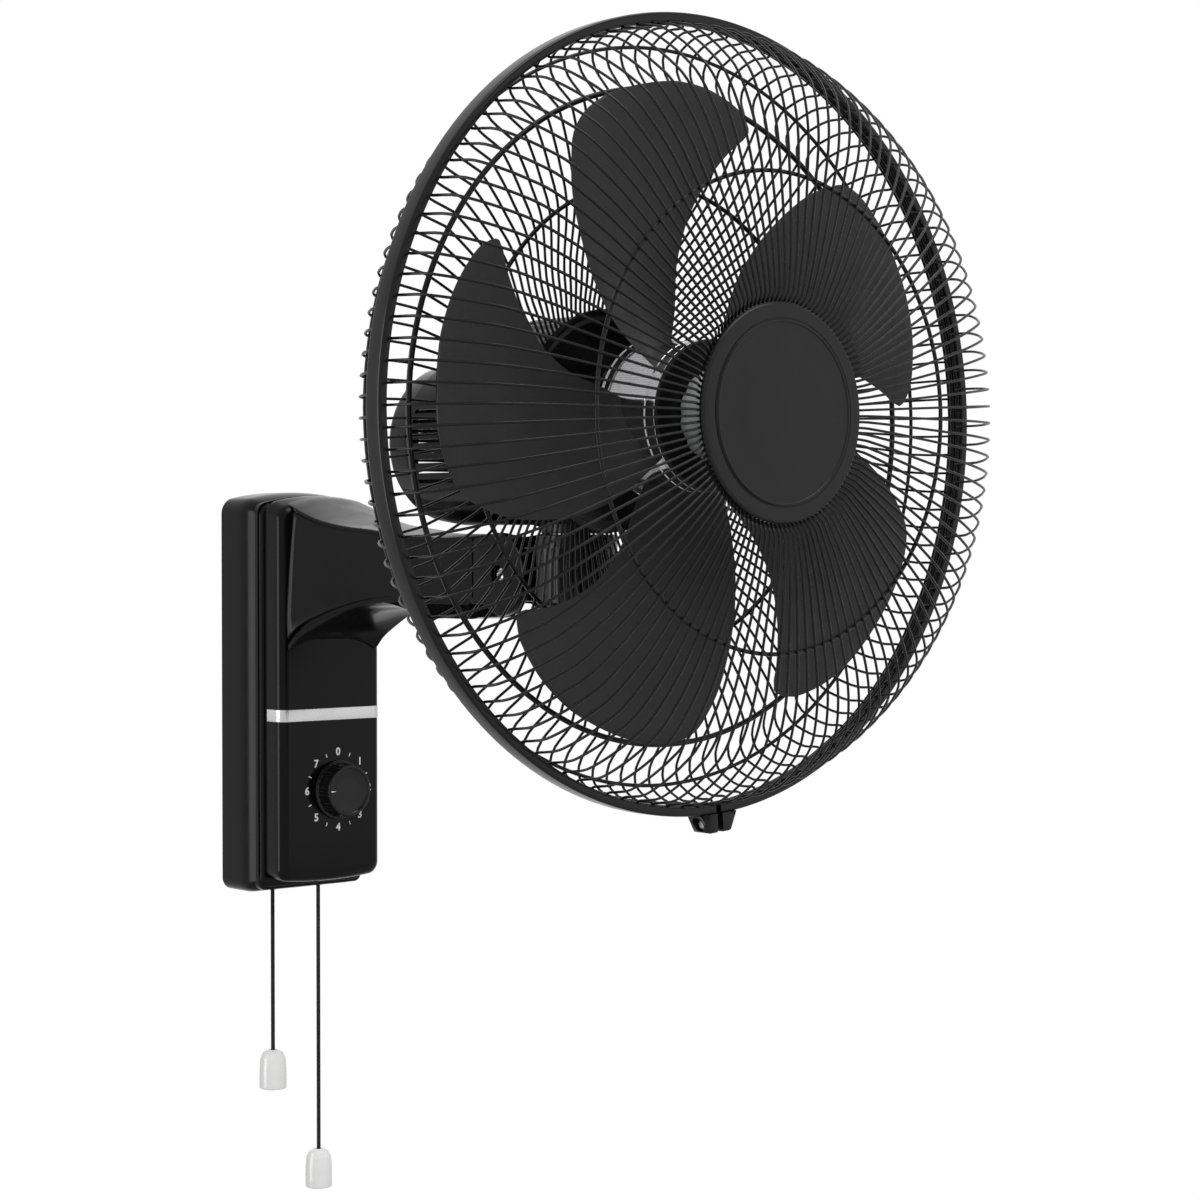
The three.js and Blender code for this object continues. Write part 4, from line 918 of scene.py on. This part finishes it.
badge_satin = surface_finish("satin badge moulding", (0.009, 0.009, 0.0095), 0.3, 600, 0.006,
                             mottle=0.04, specular=0.16)
turn([(p[0], front_y + p[1]) for p in eased(
    [(0, -62.2), (60.0, -62.2), (60.5, -62.8), (60.5, -64.6), (59.2, -65.8), (52.2, -66.1),
     (50.9, -65.6), (50.5, -66.6), (49.9, -66.9), (49.3, -66.6), (49.0, -66.2), (30, -67.5), (0, -68.2)],
    [0, 0.3, 0.3, 1.2, 1.2, 0.8, 0.3, 0.3, 0.3, 0.3, 0.6, 20, 0], 4)],
     badge_satin, "round_badge", "head", "satin_black", ["front_badge"], head_axis, "Y", 192, sharp=50)

# ---------------------------------------------------------------- studio
# A white studio: a pale floor lies well below the fan, and broad soft lamps stand in front, above
# and to the left. The key only lights, and the side lamp only shows as a streak along the edges.

floor_half, floor_z = 1.5, -1.8
floor_mesh = bpy.data.meshes.new("floor")
floor_mesh.from_pydata([(x * floor_half, y * floor_half, floor_z)
                        for x, y in ((-1, -1), (1, -1), (1, 1), (-1, 1))], [], [(0, 1, 2, 3)])
floor = bpy.data.objects.new("floor", floor_mesh)
bpy.context.scene.collection.objects.link(floor)
pale_floor = bpy.data.materials.new("pale floor")
pale_floor.use_nodes = True
floor_shader = pale_floor.node_tree.nodes["Principled BSDF"]
floor_shader.inputs["Base Color"].default_value = (0.8, 0.8, 0.8, 1)
floor_shader.inputs["Roughness"].default_value = 0.9
floor_mesh.materials.append(pale_floor)

world = bpy.data.worlds.new("studio")
bpy.context.scene.world = world
world.use_nodes = True
nodes, links = world.node_tree.nodes, world.node_tree.links
background = nodes["Background"]
background.inputs["Color"].default_value = (1, 1, 1, 1)
rays = nodes.new("ShaderNodeLightPath")
seen = nodes.new("ShaderNodeMath")
seen.operation = "MAXIMUM"
links.new(rays.outputs["Is Camera Ray"], seen.inputs[0])
links.new(rays.outputs["Is Transmission Ray"], seen.inputs[1])
shine = nodes.new("ShaderNodeMath")
shine.operation = "MAXIMUM"
links.new(seen.outputs["Value"], shine.inputs[0])
links.new(rays.outputs["Is Glossy Ray"], shine.inputs[1])
level = nodes.new("ShaderNodeMapRange")
level.inputs["To Min"].default_value = 0.45
level.inputs["To Max"].default_value = 1.0
links.new(shine.outputs["Value"], level.inputs["Value"])
links.new(level.outputs["Result"], background.inputs["Strength"])


def soft_lamp(name, place, aim, size, power):
    """A rectangular lamp of a size in metres and a power in watts, turned towards aim."""
    data = bpy.data.lights.new(name, "AREA")
    data.shape = "RECTANGLE"
    data.size, data.size_y = size
    data.energy = power
    lamp = bpy.data.objects.new(name, data)
    bpy.context.scene.collection.objects.link(lamp)
    lamp.location = place
    lamp.rotation_euler = (Vector(aim) - Vector(place)).to_track_quat("-Z", "Y").to_euler()
    return lamp


key = soft_lamp("key", (-1.6, -2.2, 1.4), (0, -0.3, 0.05), (0.9, 1.4), 40)
key.visible_glossy = False
side_lamp = soft_lamp("side", (-2.2, 0.62, 0.1), (0, -0.05, 0.0), (1.1, 2.0), 36)
side_lamp.visible_diffuse = False
soft_lamp("fill", (1.5, -2.3, 0.3), (0, -0.3, 0.05), (1.0, 1.6), 2.5)
soft_lamp("top", (0.3, -0.9, 2.0), (0, -0.3, 0.1), (1.4, 1.0), 22)

bpy.context.scene.view_settings.view_transform = "Standard"
